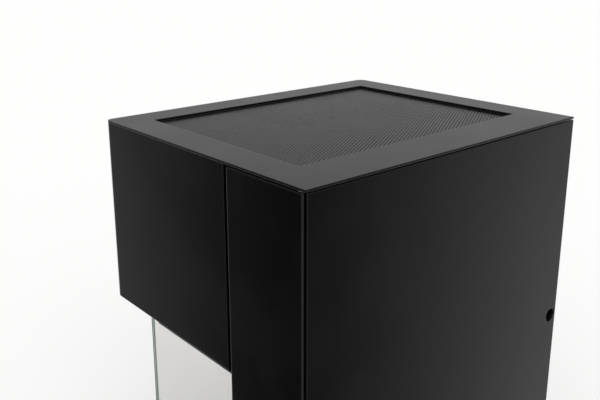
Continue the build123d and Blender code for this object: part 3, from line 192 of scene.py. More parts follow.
# %% Light
# A level is a brightness. An edge is the range over which a light fades in, as the cosine of the
# angle to its side, and a rise is the range of heights over which a level changes.
BACKDROP_SIDE = (-0.602, 0.799, 0.0)
BACKDROP_EDGE = (0.0, 0.46)
BACKDROP_RISE = (-0.35, 0.15)
BACKDROP_LOW, BACKDROP_HIGH = 0.88, 0.30
ROOM_RISE = (-0.16, 0.12)
FLOOR_LEVEL, ROOM_LEVEL = 0.005, 0.30
WINDOW_SIDE = (0.766, -0.643, 0.0)
WINDOW_EDGE = (0.34, 0.64)
WINDOW_LEVEL = 0.95
CEILING_RISE = (0.45, 0.9)
CEILING_LEVEL = 0.55
SEEN_LEVEL = 0.97
SUN_STRENGTH = 0.88
SUN_SPREAD = math.radians(70.0)
SUN_TILT = (math.radians(-18.0), math.radians(-12.0), 0.0)

world = bpy.data.worlds.new("studio")
bpy.context.scene.world = world
world.use_nodes = True
sky = world.node_tree
sky.nodes.clear()
direction = add(sky, "ShaderNodeTexCoord").outputs["Generated"]
height = add(sky, "ShaderNodeSeparateXYZ", {0: direction}).outputs["Z"]
toward_backdrop = vector_maths(sky, "DOT_PRODUCT", direction, BACKDROP_SIDE).outputs["Value"]
toward_window = vector_maths(sky, "DOT_PRODUCT", direction, WINDOW_SIDE).outputs["Value"]
backdrop_level = remap(sky, height, *BACKDROP_RISE, BACKDROP_LOW, BACKDROP_HIGH)
backdrop_edge = remap(sky, toward_backdrop, *BACKDROP_EDGE, 0.0, 1.0)
room_level = remap(sky, height, *ROOM_RISE, FLOOR_LEVEL, ROOM_LEVEL)
backdrop = maths(sky, "MULTIPLY_ADD", backdrop_edge, backdrop_level, room_level)
overhead = remap(sky, height, *CEILING_RISE, 0.0, CEILING_LEVEL)
window = remap(sky, toward_window, *WINDOW_EDGE, 0.0, WINDOW_LEVEL)
room = maths(sky, "ADD", maths(sky, "ADD", backdrop, overhead), window)
seen = add(sky, "ShaderNodeLightPath").outputs["Is Camera Ray"]
level = add(sky, "ShaderNodeMix", {0: seen, 2: room, 3: SEEN_LEVEL}, data_type="FLOAT").outputs[0]
shine = add(sky, "ShaderNodeBackground", {"Color": (1.0, 1.0, 1.0, 1.0), "Strength": level})
add(sky, "ShaderNodeOutputWorld", {"Surface": shine.outputs[0]})

sun_data = bpy.data.lights.new("overhead_sun", "SUN")
sun_data.energy = SUN_STRENGTH
sun_data.angle = SUN_SPREAD
sun = put("overhead_sun", sun_data)
sun.rotation_euler = SUN_TILT
print("backdrop", BACKDROP_LOW, "to", BACKDROP_HIGH, "room", ROOM_LEVEL, "sun", SUN_STRENGTH)

# %% [markdown]
# ## Surface effects that several finishes share
#
# Powder paint, moulded plastic, plated steel and filter cloth differ in colour, but they share a
# few effects: a fine grain, a faint dust, brushed lines, fibres. Each effect is a node group, built
# once, with named inputs, so that a material only chooses its own values. The groups give out
# numbers only. The shader itself always stays in the material.

# %% A helper that makes a node group
def effect(name, inputs, outputs):
    """An empty shader node group; returns the tree, its inputs and its outputs as sockets."""
    tree = bpy.data.node_groups.new(name, "ShaderNodeTree")
    for label, value in inputs.items():
        socket = tree.interface.new_socket(name=label, in_out="INPUT", socket_type="NodeSocketFloat")
        socket.default_value = value
    for label in outputs:
        tree.interface.new_socket(name=label, in_out="OUTPUT", socket_type="NodeSocketFloat")
    return tree, tree.nodes.new("NodeGroupInput").outputs, tree.nodes.new("NodeGroupOutput").inputs


def object_place(tree):
    """The place on the piece, in metres."""
    return add(tree, "ShaderNodeTexCoord").outputs["Object"]


# %% [markdown]
# ### Grain
#
# Powder paint melts into tiny rounded lumps called orange peel, and moulded plastic copies the
# sparked surface of its mould. Both are noise of a known size in metres. A second, much larger
# noise gives the slow change in gloss that every sprayed or moulded face has.

# %% Grain
grain, grain_in, grain_out = effect("grain", {"Size": 0.0006, "Patch Size": 0.05}, ["Height", "Patches"])
place = object_place(grain)
fine = noise(grain, place, grain_in["Size"], 2.0, 0.55)
wide = noise(grain, place, grain_in["Patch Size"], 3.0, 0.6)
grain.links.new(fine, grain_out["Height"])
grain.links.new(remap(grain, wide, 0.3, 0.7, 0.0, 1.0), grain_out["Patches"])
print("effect", grain.name)

# %% [markdown]
# ### Dust
#
# Fine dust lies on faces that look up and hardly at all on walls. The mask is the upward part of
# the surface normal, broken up by noise.

# %% Dust
dust, dust_in, dust_out = effect("dust", {"Amount": 0.3, "Speck Size": 0.004}, ["Mask"])
normal = add(dust, "ShaderNodeNewGeometry").outputs["Normal"]
facing = add(dust, "ShaderNodeSeparateXYZ", {0: normal}).outputs["Z"]
lying = remap(dust, facing, 0.3, 1.0, 0.12, 1.0)
specks = noise(dust, object_place(dust), dust_in["Speck Size"], 6.0, 0.75)
cloud = remap(dust, specks, 0.35, 0.8, 0.0, 1.0)
dust.links.new(times(dust, times(dust, cloud, lying), dust_in["Amount"]), dust_out["Mask"])
print("effect", dust.name)

# %% [markdown]
# ### Brushed lines
#
# Rolled and turned metal carries lines that run one way. Noise that is stretched along one axis
# gives them, and the three stretch values say which way the lines run.

# %% Brushed lines
LINE_INPUTS = {"Along X": 1.0, "Along Y": 1.0, "Along Z": 0.03, "Line Width": 0.0004}

brushed, brushed_in, brushed_out = effect("brushed", LINE_INPUTS, ["Height", "Shade"])
stretch = vector(brushed, brushed_in["Along X"], brushed_in["Along Y"], brushed_in["Along Z"])
lined_place = vector_maths(brushed, "MULTIPLY", object_place(brushed), stretch).outputs["Vector"]
marks = noise(brushed, lined_place, brushed_in["Line Width"], 3.0)
brushed.links.new(marks, brushed_out["Height"])
brushed.links.new(remap(brushed, marks, 0.25, 0.75, 0.0, 1.0), brushed_out["Shade"])
print("effect", brushed.name)

# %% [markdown]
# ### Fibres
#
# Filter cloth and card are felted fibres. Three stretched noises that cross each other look like
# threads lying every way. The low places between them get a darker tone as painted shade.

# %% Fibres
THREADS = ((0.5, (1.0, 0.12, 0.3)), (-0.6, (0.14, 0.3, 1.0)), (1.3, (0.3, 1.0, 0.13)))

fibres, fibres_in, fibres_out = effect("fibres", {"Thread Width": 0.0004}, ["Height", "Gap Shade"])
place = object_place(fibres)
layers = []
for turn, squeeze in THREADS:
    turned = add(fibres, "ShaderNodeVectorRotate", {"Vector": place, "Angle": turn}, rotation_type="X_AXIS")
    squeezed = vector_maths(fibres, "MULTIPLY", turned.outputs[0], squeeze).outputs["Vector"]
    layers.append(noise(fibres, squeezed, fibres_in["Thread Width"]))
pile = maths(fibres, "MAXIMUM", maths(fibres, "MAXIMUM", layers[0], layers[1]), layers[2])
fibres.links.new(pile, fibres_out["Height"])
# The low places between the threads give the mask for painted shade.
fibres.links.new(remap(fibres, pile, 0.48, 0.72, 1.0, 0.0), fibres_out["Gap Shade"])
print("effect", fibres.name)

# %% [markdown]
# ## Finishes
#
# A finish starts as a plain Principled shader with its constant values set on its own sockets.
# Each group then changes only what varies over the surface: a little colour, some roughness and
# the bump. The helper below makes that start and returns the tree for the changes.

# %% A helper that starts a finish
finishes = {}


def finish(name, colour, roughness, metallic=0.0, specular=0.5, ior=1.5):
    """A new material with a Principled shader; returns its node tree and the shader."""
    material = bpy.data.materials.new(name)
    material.use_nodes = True
    material.diffuse_color = (*colour, 1.0)
    shader = material.node_tree.nodes["Principled BSDF"]
    shader.inputs["Base Color"].default_value = (*colour, 1.0)
    shader.inputs["Roughness"].default_value = roughness
    shader.inputs["Metallic"].default_value = metallic
    shader.inputs["Specular IOR Level"].default_value = specular
    shader.inputs["IOR"].default_value = ior
    finishes[name] = material
    return material.node_tree, shader


def use(tree, group, **values):
    """Places an effect group in a material; values are its inputs, with _ for a space."""
    made = add(tree, "ShaderNodeGroup", node_tree=group)
    for label, value in values.items():
        made.inputs[label.replace("_", " ")].default_value = value
    return made.outputs


def bump(tree, shader, height, distance, fold=0.0):
    """Raises the surface by a height times the distance in metres; fold rounds sharp edges."""
    inputs = {"Height": height, "Distance": distance}
    if fold:
        inputs["Normal"] = add(tree, "ShaderNodeBevel", {"Radius": fold}, samples=6).outputs["Normal"]
    tree.links.new(add(tree, "ShaderNodeBump", inputs).outputs["Normal"], shader.inputs["Normal"])


def textured(name, colour, roughness, size, depth, patch=0.05, spread=0.06, dust_amount=0.05, fold=0.0,
             **more):
    """A painted or moulded finish: grain in the bump, patches in the gloss, dust in the colour."""
    tree, shader = finish(name, colour, roughness, **more)
    texture = use(tree, grain, Size=size, Patch_Size=patch)
    settled = use(tree, dust, Amount=dust_amount)["Mask"]
    lighter = tuple(min(1.0, channel * 1.25 + 0.0005) for channel in colour)
    base = blend_colour(tree, texture["Patches"], colour, lighter)
    tree.links.new(blend_colour(tree, settled, base, (0.32, 0.31, 0.30)), shader.inputs["Base Color"])
    gloss = remap(tree, texture["Patches"], 0.0, 1.0, roughness - spread / 2, roughness + spread / 2)
    tree.links.new(gloss, shader.inputs["Roughness"])
    bump(tree, shader, texture["Height"], depth, fold)


def mottled(name, colour, roughness, dark, light, size, patch, depth, **more):
    """A finish whose colour drifts between two tones; returns its tree, shader and grain."""
    tree, shader = finish(name, colour, roughness, **more)
    texture = use(tree, grain, Size=size, Patch_Size=patch)
    tree.links.new(blend_colour(tree, texture["Patches"], dark, light), shader.inputs["Base Color"])
    bump(tree, shader, texture["Height"], depth)
    return tree, shader, texture


# %% [markdown]
# ### Powder paint and moulded parts
#
# The cabinet is folded steel sheet with black powder paint, which is baked on and has a satin,
# slightly lumpy surface. A fold is never a sharp edge, so a bevel node turns the normal over the
# last millimetres, and the fold catches a thin line of light. The perforated sheet has the same
# paint without the folds, because its bars are narrower than a fold. Rubber, anodised aluminium,
# plastics and foam follow the same recipe with other sizes and depths.

# %% Painted and moulded finishes
PAINT = (0.0014, 0.0012, 0.0016)
FOLD_RADIUS = 0.0017
PAINT_FILM = {"patch": 0.08, "spread": 0.04, "dust_amount": 0.004}

textured("powder_coat", PAINT, 0.28, 0.0009, 0.000012, fold=FOLD_RADIUS, ior=1.34, **PAINT_FILM)
textured("sheet_coat", PAINT, 0.26, 0.0009, 0.000008, ior=1.38, **PAINT_FILM)
textured("rubber", (0.018, 0.018, 0.019), 0.72, 0.0007, 0.00005, patch=0.02, dust_amount=0.12)
textured("silicone", (0.035, 0.04, 0.047), 0.55, 0.0012, 0.00006, patch=0.03, dust_amount=0.10)
textured("foam", (0.025, 0.025, 0.027), 0.92, 0.0008, 0.00025, patch=0.01)
textured("aluminium", (0.022, 0.022, 0.024), 0.34, 0.0005, 0.00001, patch=0.04, metallic=0.6)
textured("fan_plastic", (0.024, 0.024, 0.026), 0.48, 0.0007, 0.00003, patch=0.03, dust_amount=0.20)
textured("black_plastic", (0.02, 0.02, 0.021), 0.42, 0.0005, 0.00003, patch=0.02)
textured("nylon", (0.74, 0.71, 0.64), 0.45, 0.0009, 0.00002, patch=0.01)
textured("ferrite", (0.05, 0.05, 0.055), 0.6, 0.0004, 0.00005, patch=0.01)
print(len(finishes), "painted and moulded finishes")

# %% [markdown]
# ### Metals
#
# Zinc plate, black oxide, turned steel and nickel are metallic shaders with lines or with the
# large crystals of zinc. Roughness varies with the lines, so highlights break up along them.

# %% Metal finishes
def lined_metal(name, colour, roughness, along, width, depth, spread=0.12):
    """Bare or plated metal with rolled or turned lines."""
    tree, shader = finish(name, colour, roughness, metallic=1.0)
    marks = use(tree, brushed, Along_X=along[0], Along_Y=along[1], Along_Z=along[2], Line_Width=width)
    settled = use(tree, dust, Amount=0.15)["Mask"]
    darker = tuple(channel * 0.82 for channel in colour)
    shade = blend_colour(tree, marks["Shade"], darker, colour)
    tree.links.new(blend_colour(tree, settled, shade, (0.3, 0.29, 0.27)), shader.inputs["Base Color"])
    gloss = remap(tree, marks["Shade"], 0.0, 1.0, roughness + spread / 2, roughness - spread / 2)
    tree.links.new(gloss, shader.inputs["Roughness"])
    bump(tree, shader, marks["Height"], depth)


lined_metal("motor_steel", (0.42, 0.42, 0.43), 0.34, (1.0, 1.0, 0.05), 0.0005, 0.00001)
lined_metal("knob_steel", (0.66, 0.64, 0.60), 0.22, (1.0, 0.05, 1.0), 0.0003, 0.000005)
lined_metal("supply_case", (0.60, 0.61, 0.62), 0.36, (1.0, 0.04, 1.0), 0.0004, 0.00001)
lined_metal("screw_steel", (0.045, 0.045, 0.047), 0.38, (1.0, 1.0, 1.0), 0.0006, 0.00001)

ZINC_BRIGHT, ZINC_DULL = (0.60, 0.61, 0.62), (0.44, 0.46, 0.48)
CRYSTALS_PER_METRE = 140.0

zinc, zinc_shader = finish("zinc_steel", ZINC_BRIGHT, 0.33, metallic=1.0)
crystals = add(zinc, "ShaderNodeTexVoronoi", {"Vector": object_place(zinc), "Scale": CRYSTALS_PER_METRE})
spangle = add(zinc, "ShaderNodeSeparateColor", {0: crystals.outputs["Color"]}).outputs[0]
texture = use(zinc, grain, Size=0.0008, Patch_Size=0.03)
plated = blend_colour(zinc, times(zinc, spangle, 0.6), ZINC_BRIGHT, ZINC_DULL)
zinc.links.new(plated, zinc_shader.inputs["Base Color"])
zinc.links.new(remap(zinc, spangle, 0.0, 1.0, 0.28, 0.44), zinc_shader.inputs["Roughness"])
bump(zinc, zinc_shader, texture["Height"], 0.00001)
print("metals done,", len(finishes), "finishes")

# %% [markdown]
# ### Glass
#
# The panes are clear float glass. Looking through the face shows almost nothing of the glass, but
# the ground edge is frosted and shows the green of the iron in it. So the faces and the edge are
# two finishes on one piece.

# %% Glass finishes
clear, clear_shader = finish("glass", (0.960, 0.954, 0.950), 0.0)
clear_shader.inputs["Transmission Weight"].default_value = 1.0
wiped = use(clear, grain, Size=0.012, Patch_Size=0.07)
clear.links.new(remap(clear, wiped["Patches"], 0.2, 1.0, 0.0, 0.012), clear_shader.inputs["Roughness"])

mottled("glass_edge", (0.09, 0.30, 0.16), 0.35, (0.07, 0.27, 0.14), (0.11, 0.34, 0.19), 0.0005, 0.02, 0.00003)
mottled("opal", (0.82, 0.82, 0.80), 0.4, (0.80, 0.80, 0.775), (0.86, 0.86, 0.84), 0.001, 0.02, 0.00001,
        ior=1.49)
mottled("indicator", (0.05, 0.38, 0.12), 0.12, (0.04, 0.32, 0.10), (0.07, 0.44, 0.16), 0.0006, 0.004,
        0.000005)
print("glass and lenses done,", len(finishes), "finishes")

# %% [markdown]
# ### Filters and board
#
# The filter set is a coarse white mat, a pleated paper pack in a card frame and a bed of carbon
# granules. The control board is green lacquer over copper tracks, which a grid of bricks gives.

# %% Filter and board finishes
def fibrous(name, light, dark, roughness, width, depth):
    """Felted or paper finish: fibres in the bump and painted shade in the gaps between them."""
    tree, shader = finish(name, light, roughness, specular=0.2)
    threads = use(tree, fibres, Thread_Width=width)
    settled = use(tree, dust, Amount=0.2)["Mask"]
    # The dark colour fills the gaps between fibres as painted shade.
    cloth = blend_colour(tree, threads["Gap Shade"], light, dark)
    tree.links.new(blend_colour(tree, settled, cloth, (0.35, 0.33, 0.30)), shader.inputs["Base Color"])
    bump(tree, shader, threads["Height"], depth)


fibrous("filter_mat", (0.78, 0.80, 0.79), (0.42, 0.44, 0.44), 0.9, 0.0012, 0.0006)
fibrous("filter_card", (0.55, 0.44, 0.30), (0.44, 0.34, 0.22), 0.75, 0.0008, 0.00005)
fibrous("filter_paper", (0.86, 0.86, 0.82), (0.70, 0.70, 0.66), 0.85, 0.0005, 0.00008)

coal, coal_shader, texture = mottled(
    "carbon", (0.012, 0.012, 0.013), 0.5, (0.008, 0.008, 0.009), (0.028, 0.028, 0.030), 0.0007, 0.004, 0.0002)
coal.links.new(remap(coal, texture["Patches"], 0.0, 1.0, 0.38, 0.66), coal_shader.inputs["Roughness"])

board, board_shader = finish("circuit_board", (0.012, 0.10, 0.045), 0.28)
flat_place = add(board, "ShaderNodeVectorRotate", {"Vector": object_place(board), "Angle": math.pi / 2},
                 rotation_type="X_AXIS")
tracks = add(board, "ShaderNodeTexBrick", {
    "Vector": flat_place.outputs[0], "Color1": (0.010, 0.085, 0.038, 1.0),
    "Color2": (0.014, 0.115, 0.052, 1.0), "Mortar": (0.035, 0.20, 0.085, 1.0), "Scale": 60.0,
    "Mortar Size": 0.012, "Row Height": 0.18})
board.links.new(tracks.outputs["Color"], board_shader.inputs["Base Color"])
bump(board, board_shader, tracks.outputs["Fac"], 0.00004)
print(len(finishes), "finishes in all")

# %% [markdown]
# ## Finishes on the mechanical parts
#
# Each part arrived with a plain material named after its slot. The plain one is swapped for the
# finish with the same name, and the mesh stays as it is.

# %% Put the finishes on
for part in parts.values():
    for material_slot in part.material_slots:
        material_slot.material = finishes[material_slot.material.name.split(".")[0]]
print("finishes put on", len(parts), "parts")

# %% [markdown]
# ## Helpers for detailed pieces
#
# A finished piece keeps its object at the origin and its place in its mesh. Sizes are given in
# millimetres, as a maker reads them, and turned into metres once.

# %% Piece helpers
MM = 0.001


def piece_from(name, points, faces, material):
    """A mesh object at the origin from points in millimetres."""
    mesh = bpy.data.meshes.new(name)
    mesh.from_pydata([(x * MM, y * MM, z * MM) for x, y, z in points], [], faces)
    mesh.validate()
    mesh.materials.append(finishes[material])
    return put(name, mesh)


def outward(piece, weld=0.0):
    """Welds points closer than weld millimetres and turns a closed piece's faces outwards."""
    shape = bmesh.new()
    shape.from_mesh(piece.data)
    if weld:
        bmesh.ops.remove_doubles(shape, verts=shape.verts[:], dist=weld * MM)
    bmesh.ops.recalc_face_normals(shape, faces=shape.faces[:])
    shape.to_mesh(piece.data)
    shape.free()


def bevelled_box(name, low, high, bevel_width, segments, *materials):
    """A box between two corners in millimetres with all its edges bevelled."""
    mesh = bpy.data.meshes.new(name)
    shape = bmesh.new()
    bmesh.ops.create_cube(shape, size=1.0)
    for corner in shape.verts:
        corner.co = [(a + (share + 0.5) * (b - a)) * MM for a, b, share in zip(low, high, corner.co)]
    bmesh.ops.bevel(shape, geom=shape.edges[:], offset=bevel_width * MM, segments=segments, affect="EDGES")
    bmesh.ops.recalc_face_normals(shape, faces=shape.faces[:])
    shape.to_mesh(mesh)
    shape.free()
    for material in materials:
        mesh.materials.append(finishes[material])
    return put(name, mesh)


def declare(piece, body, slot, *replaced):
    """Says what the piece moves with and which parts it stands for; the slot is not used."""
    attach(piece, body)
    if replaced:
        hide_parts(*replaced)
    piece.data.calc_loop_triangles()
    print(piece.name, "rides on", body, "with", len(piece.data.loop_triangles), "triangles")


def span(part, axis):
    """The low and high place of a part along X, Y or Z, in millimetres."""
    low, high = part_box(part)
    return low["XYZ".index(axis)] / MM, high["XYZ".index(axis)] / MM


def measure(part):
    """The middle of a part and its size along X, Y and Z, in millimetres."""
    spans = [span(part, axis) for axis in "XYZ"]
    return [sum(ends) / 2 for ends in spans], [ends[1] - ends[0] for ends in spans]


# %% [markdown]
# ### Geometry Nodes helpers
#
# Geometry Nodes build what repeats. A tree gets named inputs for its sizes, ends in Realize
# Instances and Set Material, and runs as a modifier on an empty mesh, or on a mesh of points where
# copies of the shape belong. The result is then copied out as a plain mesh, and the modifier goes
# away with its object.

# %% Tree helpers
def new_tree(name, sizes, places=False):
    """A tree with named number inputs, a Material input and, if asked, points in Places."""
    tree = bpy.data.node_groups.new(name, "GeometryNodeTree")
    if places:
        tree.interface.new_socket(name="Places", in_out="INPUT", socket_type="NodeSocketGeometry")
    kinds = {int: "NodeSocketInt", float: "NodeSocketFloat"}
    for label, value in sizes.items():
        socket = tree.interface.new_socket(name=label, in_out="INPUT", socket_type=kinds[type(value)])
        socket.default_value = value
    tree.interface.new_socket(name="Material", in_out="INPUT", socket_type="NodeSocketMaterial")
    tree.interface.new_socket(name="Geometry", in_out="OUTPUT", socket_type="NodeSocketGeometry")
    return tree, tree.nodes.new("NodeGroupInput").outputs


def moved(tree, geometry, **change):
    """A shape that is moved by its Translation and turned by its Rotation."""
    return add(tree, "GeometryNodeTransform", {"Geometry": geometry, **change}).outputs[0]


def copies(tree, points, shape, **change):
    """One instance of a shape on every point."""
    inputs = {"Points": points, "Instance": shape, **change}
    return add(tree, "GeometryNodeInstanceOnPoints", inputs).outputs[0]


def point_set(tree, count, place):
    """Points whose place is worked out from their number."""
    return add(tree, "GeometryNodePoints", {"Count": count, "Position": place}).outputs[0]


def box(tree, x, y, z, **more):
    """A box about the origin."""
    return add(tree, "GeometryNodeMeshCube", {"Size": vector(tree, x, y, z), **more}).outputs["Mesh"]


def joined(tree, *shapes):
    """Several shapes as one."""
    whole = add(tree, "GeometryNodeJoinGeometry")
    feed(tree, whole.inputs[0], *shapes)
    return whole.outputs[0]


def end_tree(tree, geometry, sizes):
    """Ends a tree: on every one of its Places if it has them, as real geometry with its material."""
    if "Places" in sizes:
        geometry = copies(tree, sizes["Places"], geometry)
    real = add(tree, "GeometryNodeRealizeInstances", {"Geometry": geometry}).outputs["Geometry"]
    painted = add(tree, "GeometryNodeSetMaterial", {"Geometry": real, "Material": sizes["Material"]})
    add(tree, "NodeGroupOutput", {"Geometry": painted.outputs["Geometry"]})
    print("tree", tree.name, "with", len(tree.nodes), "nodes")


def run_tree(tree, name, material, places=(), **values):
    """Runs a tree with its inputs set, at places in millimetres, and returns a plain mesh object."""
    held = bpy.data.meshes.new(name + "_maker")
    held.from_pydata([(x * MM, y * MM, z * MM) for x, y, z in places], [], [])
    holder = put(name + "_maker", held)
    modifier = holder.modifiers.new("maker", "NODES")
    modifier.node_group = tree
    sockets = {item.name: item.identifier for item in tree.interface.items_tree if item.in_out == "INPUT"}
    for label, value in values.items():
        modifier[sockets[label.replace("_", " ")]] = value
    modifier[sockets["Material"]] = finishes[material]
    evaluated = holder.evaluated_get(bpy.context.evaluated_depsgraph_get())
    mesh = bpy.data.meshes.new_from_object(evaluated)
    mesh.name = name
    bpy.data.objects.remove(holder)
    return put(name, mesh)


# %% [markdown]
# ## The perforated sheet
#
# The exhaust grille is a steel sheet with small round holes in staggered rows, punched at a fixed
# pitch. A boolean with six thousand cylinders would be slow and untidy. Instead one small flat
# cell with its hole is placed on every lattice point, half cells close the row ends, and the whole
# layer is thickened at once, so that the walls of the holes and the rim of the sheet appear
# together. The sheet is made in a front and a back half, which keeps each piece light.

# %% The tree of the perforated sheet
HOLE_SIDES = 8
# Keeps the first cell of a row from being rounded down into the row before.
ROW_NUDGE = 0.001
SQUARE_REACH = 1.41422
WELD = 0.00001

sheet, sizes = new_tree("perforated_sheet", {
    "Left": 0.0, "Front": 0.0, "Underside": 0.0, "Thickness": 0.001, "Pitch": 0.0035, "Row Step": 0.003,
    "Hole Radius": 0.001, "Columns": 60, "Rows": 48, "First Row": 0})


def lattice_points(count, row, steps):
    """Points on the lattice; steps along a row are counted in pitches from the left edge."""
    x = maths(sheet, "MULTIPLY_ADD", steps, sizes["Pitch"], sizes["Left"])
    y = maths(sheet, "MULTIPLY_ADD", maths(sheet, "ADD", row, 0.5), sizes["Row Step"], sizes["Front"])
    return point_set(sheet, count, vector(sheet, x, y, sizes["Underside"]))


def odd_row(row):
    """1 on every second row of the whole sheet, else 0."""
    return maths(sheet, "MODULO", maths(sheet, "ADD", row, sizes["First Row"]), 2.0)


number = add(sheet, "GeometryNodeInputIndex").outputs[0]
row = maths(sheet, "FLOOR", maths(sheet, "DIVIDE", maths(sheet, "ADD", number, ROW_NUDGE), sizes["Columns"]))
column = maths(sheet, "SUBTRACT", number, times(sheet, row, sizes["Columns"]))
steps = maths(sheet, "MULTIPLY_ADD", odd_row(row), 0.5, maths(sheet, "ADD", column, 0.5))
lattice = lattice_points(times(sheet, sizes["Columns"], sizes["Rows"]), row, steps)

# A cell is a disc with a second ring outside it; the ring goes to the cell's sides and the disc goes.
circle = add(sheet, "GeometryNodeMeshCircle", {"Vertices": HOLE_SIDES, "Radius": 1.0},
             fill_type="NGON").outputs[0]
inner = add(sheet, "GeometryNodeExtrudeMesh", {"Mesh": circle, "Offset Scale": 0.0}, mode="FACES")
round_place = add(sheet, "GeometryNodeInputPosition").outputs[0]
square = vector_maths(sheet, "MULTIPLY", round_place, (SQUARE_REACH, SQUARE_REACH, 0.0)).outputs["Vector"]
square = vector_maths(sheet, "MINIMUM", square, (1.0, 1.0, 1.0)).outputs["Vector"]
square = vector_maths(sheet, "MAXIMUM", square, (-1.0, -1.0, -1.0)).outputs["Vector"]
half_pitch = times(sheet, sizes["Pitch"], 0.5)
half_cell = vector(sheet, half_pitch, times(sheet, sizes["Row Step"], 0.5))
outer_place = vector_maths(sheet, "MULTIPLY", square, half_cell).outputs["Vector"]
hole_place = scaled(sheet, round_place, sizes["Hole Radius"])
cell_points = add(sheet, "GeometryNodeSwitch", input_type="VECTOR")
for socket, source in enumerate((inner.outputs["Top"], outer_place, hole_place)):
    sheet.links.new(source, cell_points.inputs[socket])
shaped = add(sheet, "GeometryNodeSetPosition",
             {"Geometry": inner.outputs["Mesh"], "Position": cell_points.outputs[0]}).outputs[0]
cell = add(sheet, "GeometryNodeDeleteGeometry",
           {"Geometry": shaped, "Selection": inner.outputs["Top"]}, domain="FACE").outputs[0]
cells = copies(sheet, lattice, cell)

right_end = maths(sheet, "ADD", sizes["Columns"], 0.25)
end_steps = add(sheet, "ShaderNodeMix", {0: odd_row(number), 2: right_end, 3: 0.25},
                data_type="FLOAT").outputs[0]
ends = lattice_points(sizes["Rows"], number, end_steps)
end_cell = add(sheet, "GeometryNodeMeshGrid", {
    "Size X": half_pitch, "Size Y": sizes["Row Step"], "Vertices X": 2, "Vertices Y": 3}).outputs[0]
layer = joined(sheet, copies(sheet, ends, end_cell), cells)

flat = add(sheet, "GeometryNodeRealizeInstances", {"Geometry": layer}).outputs[0]
flat = add(sheet, "GeometryNodeMergeByDistance", {"Geometry": flat, "Distance": WELD}).outputs[0]
lift = vector(sheet, z=sizes["Thickness"])
upward = {"Mesh": flat, "Offset": lift, "Offset Scale": 1.0, "Individual": False}
thick = add(sheet, "GeometryNodeExtrudeMesh", upward, mode="FACES").outputs["Mesh"]
underside = add(sheet, "GeometryNodeFlipFaces", {"Mesh": flat}).outputs[0]
closed = {"Geometry": joined(sheet, thick, underside), "Distance": WELD}
end_tree(sheet, add(sheet, "GeometryNodeMergeByDistance", closed).outputs[0], sizes)

# %% Make the two halves of the sheet
SHEET_COLUMNS = 62
SHEET_ROWS = 96
HOLE_RADIUS = 1.0

left, right = span("exhaust_grille", "X")
front, back = span("exhaust_grille", "Y")
under, over = span("exhaust_grille", "Z")
pitch = (right - left) / (SHEET_COLUMNS + 0.5)
row_step = (back - front) / SHEET_ROWS
for side, first_row, replaced in (("front", 0, ["exhaust_grille"]), ("back", SHEET_ROWS // 2, [])):
    half = run_tree(sheet, "grille_sheet_" + side, "sheet_coat", Left=left * MM,
                    Front=(front + first_row * row_step) * MM, Underside=under * MM,
                    Thickness=(over - under) * MM, Pitch=pitch * MM, Row_Step=row_step * MM,
                    Hole_Radius=HOLE_RADIUS * MM, Columns=SHEET_COLUMNS, Rows=SHEET_ROWS // 2,
                    First_Row=first_row)
    declare(half, "grille", "powder_coat", *replaced)
print("holes", SHEET_COLUMNS * SHEET_ROWS, "pitch", round(pitch, 2), "mm")

# %% [markdown]
# ## Glass panes with ground edges
#
# Each pane is cut from float glass and its edges are ground, so that they don't cut a hand. The
# grinding leaves a frosted green band and a narrow bevel. The pane is a thin box whose edges are
# bevelled, the two large faces are clear, and every other face gets the ground finish.

# %% Make the two panes
GROUND_BEVEL = 0.45
FACES_ALONG = 0.99


def make_pane(name, part, body, thin_axis):
    """A pane with clear faces and ground edges that fills the box of a part."""
    low, high = ([value / MM for value in corner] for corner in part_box(part))
    pane = bevelled_box(name, low, high, GROUND_BEVEL, 1, "glass", "glass_edge")
    for face in pane.data.polygons:
        face.material_index = 0 if abs(face.normal[thin_axis]) > FACES_ALONG else 1
    declare(pane, body, "glass", part)


make_pane("visor_pane", "visor_glass", "visor", 1)
make_pane("side_pane", "side_glass", "cabinet", 0)

# %% [markdown]
# ## Countersunk screws with a cross recess
#
# Six small screws hold the back panels. Each has a cone under its flat head, so that it sits flush
# in the sheet, and a cross for the screwdriver. One screw is joined and cut with booleans inside
# the tree, and then it is placed on each of the six places.

# %% The tree of the screws
SCREW_SIZES = {"Head Radius": 0.003, "Head Height": 0.0015, "Shank Radius": 0.0015, "Length": 0.005,
               "Slot Length": 0.0034, "Slot Width": 0.0006, "Slot Depth": 0.0009}
SHANK_SHARE = 0.96

screws, sizes = new_tree("countersunk_screws", SCREW_SIZES, places=True)
head = add(screws, "GeometryNodeMeshCone", {
    "Vertices": 20, "Radius Top": sizes["Head Radius"], "Radius Bottom": sizes["Shank Radius"],
    "Depth": sizes["Head Height"]})
sunk = vector(screws, z=times(screws, sizes["Head Height"], -1.0))
head = moved(screws, head.outputs["Mesh"], Translation=sunk)
half_head = times(screws, sizes["Head Height"], 0.5)
shank_length = maths(screws, "SUBTRACT", sizes["Length"], half_head)
shank = add(screws, "GeometryNodeMeshCylinder", {
    "Vertices": 16, "Radius": times(screws, sizes["Shank Radius"], SHANK_SHARE), "Depth": shank_length})
shank_low = maths(screws, "SUBTRACT", times(screws, shank_length, 0.5), sizes["Length"])
shank = moved(screws, shank.outputs["Mesh"], Translation=vector(screws, z=shank_low))
slot_height = times(screws, sizes["Slot Depth"], 2.0)
slot = box(screws, sizes["Slot Length"], sizes["Slot Width"], slot_height)
across = moved(screws, slot, Rotation=(0.0, 0.0, math.pi / 2))
whole = add(screws, "GeometryNodeMeshBoolean", operation="UNION")
feed(screws, whole.inputs["Mesh 2"], shank, head)
recessed = add(screws, "GeometryNodeMeshBoolean", {"Mesh 1": whole.outputs["Mesh"]}, operation="DIFFERENCE")
feed(screws, recessed.inputs["Mesh 2"], across, slot)
end_tree(screws, moved(screws, recessed.outputs["Mesh"], Rotation=(-math.pi / 2, 0.0, 0.0)), sizes)

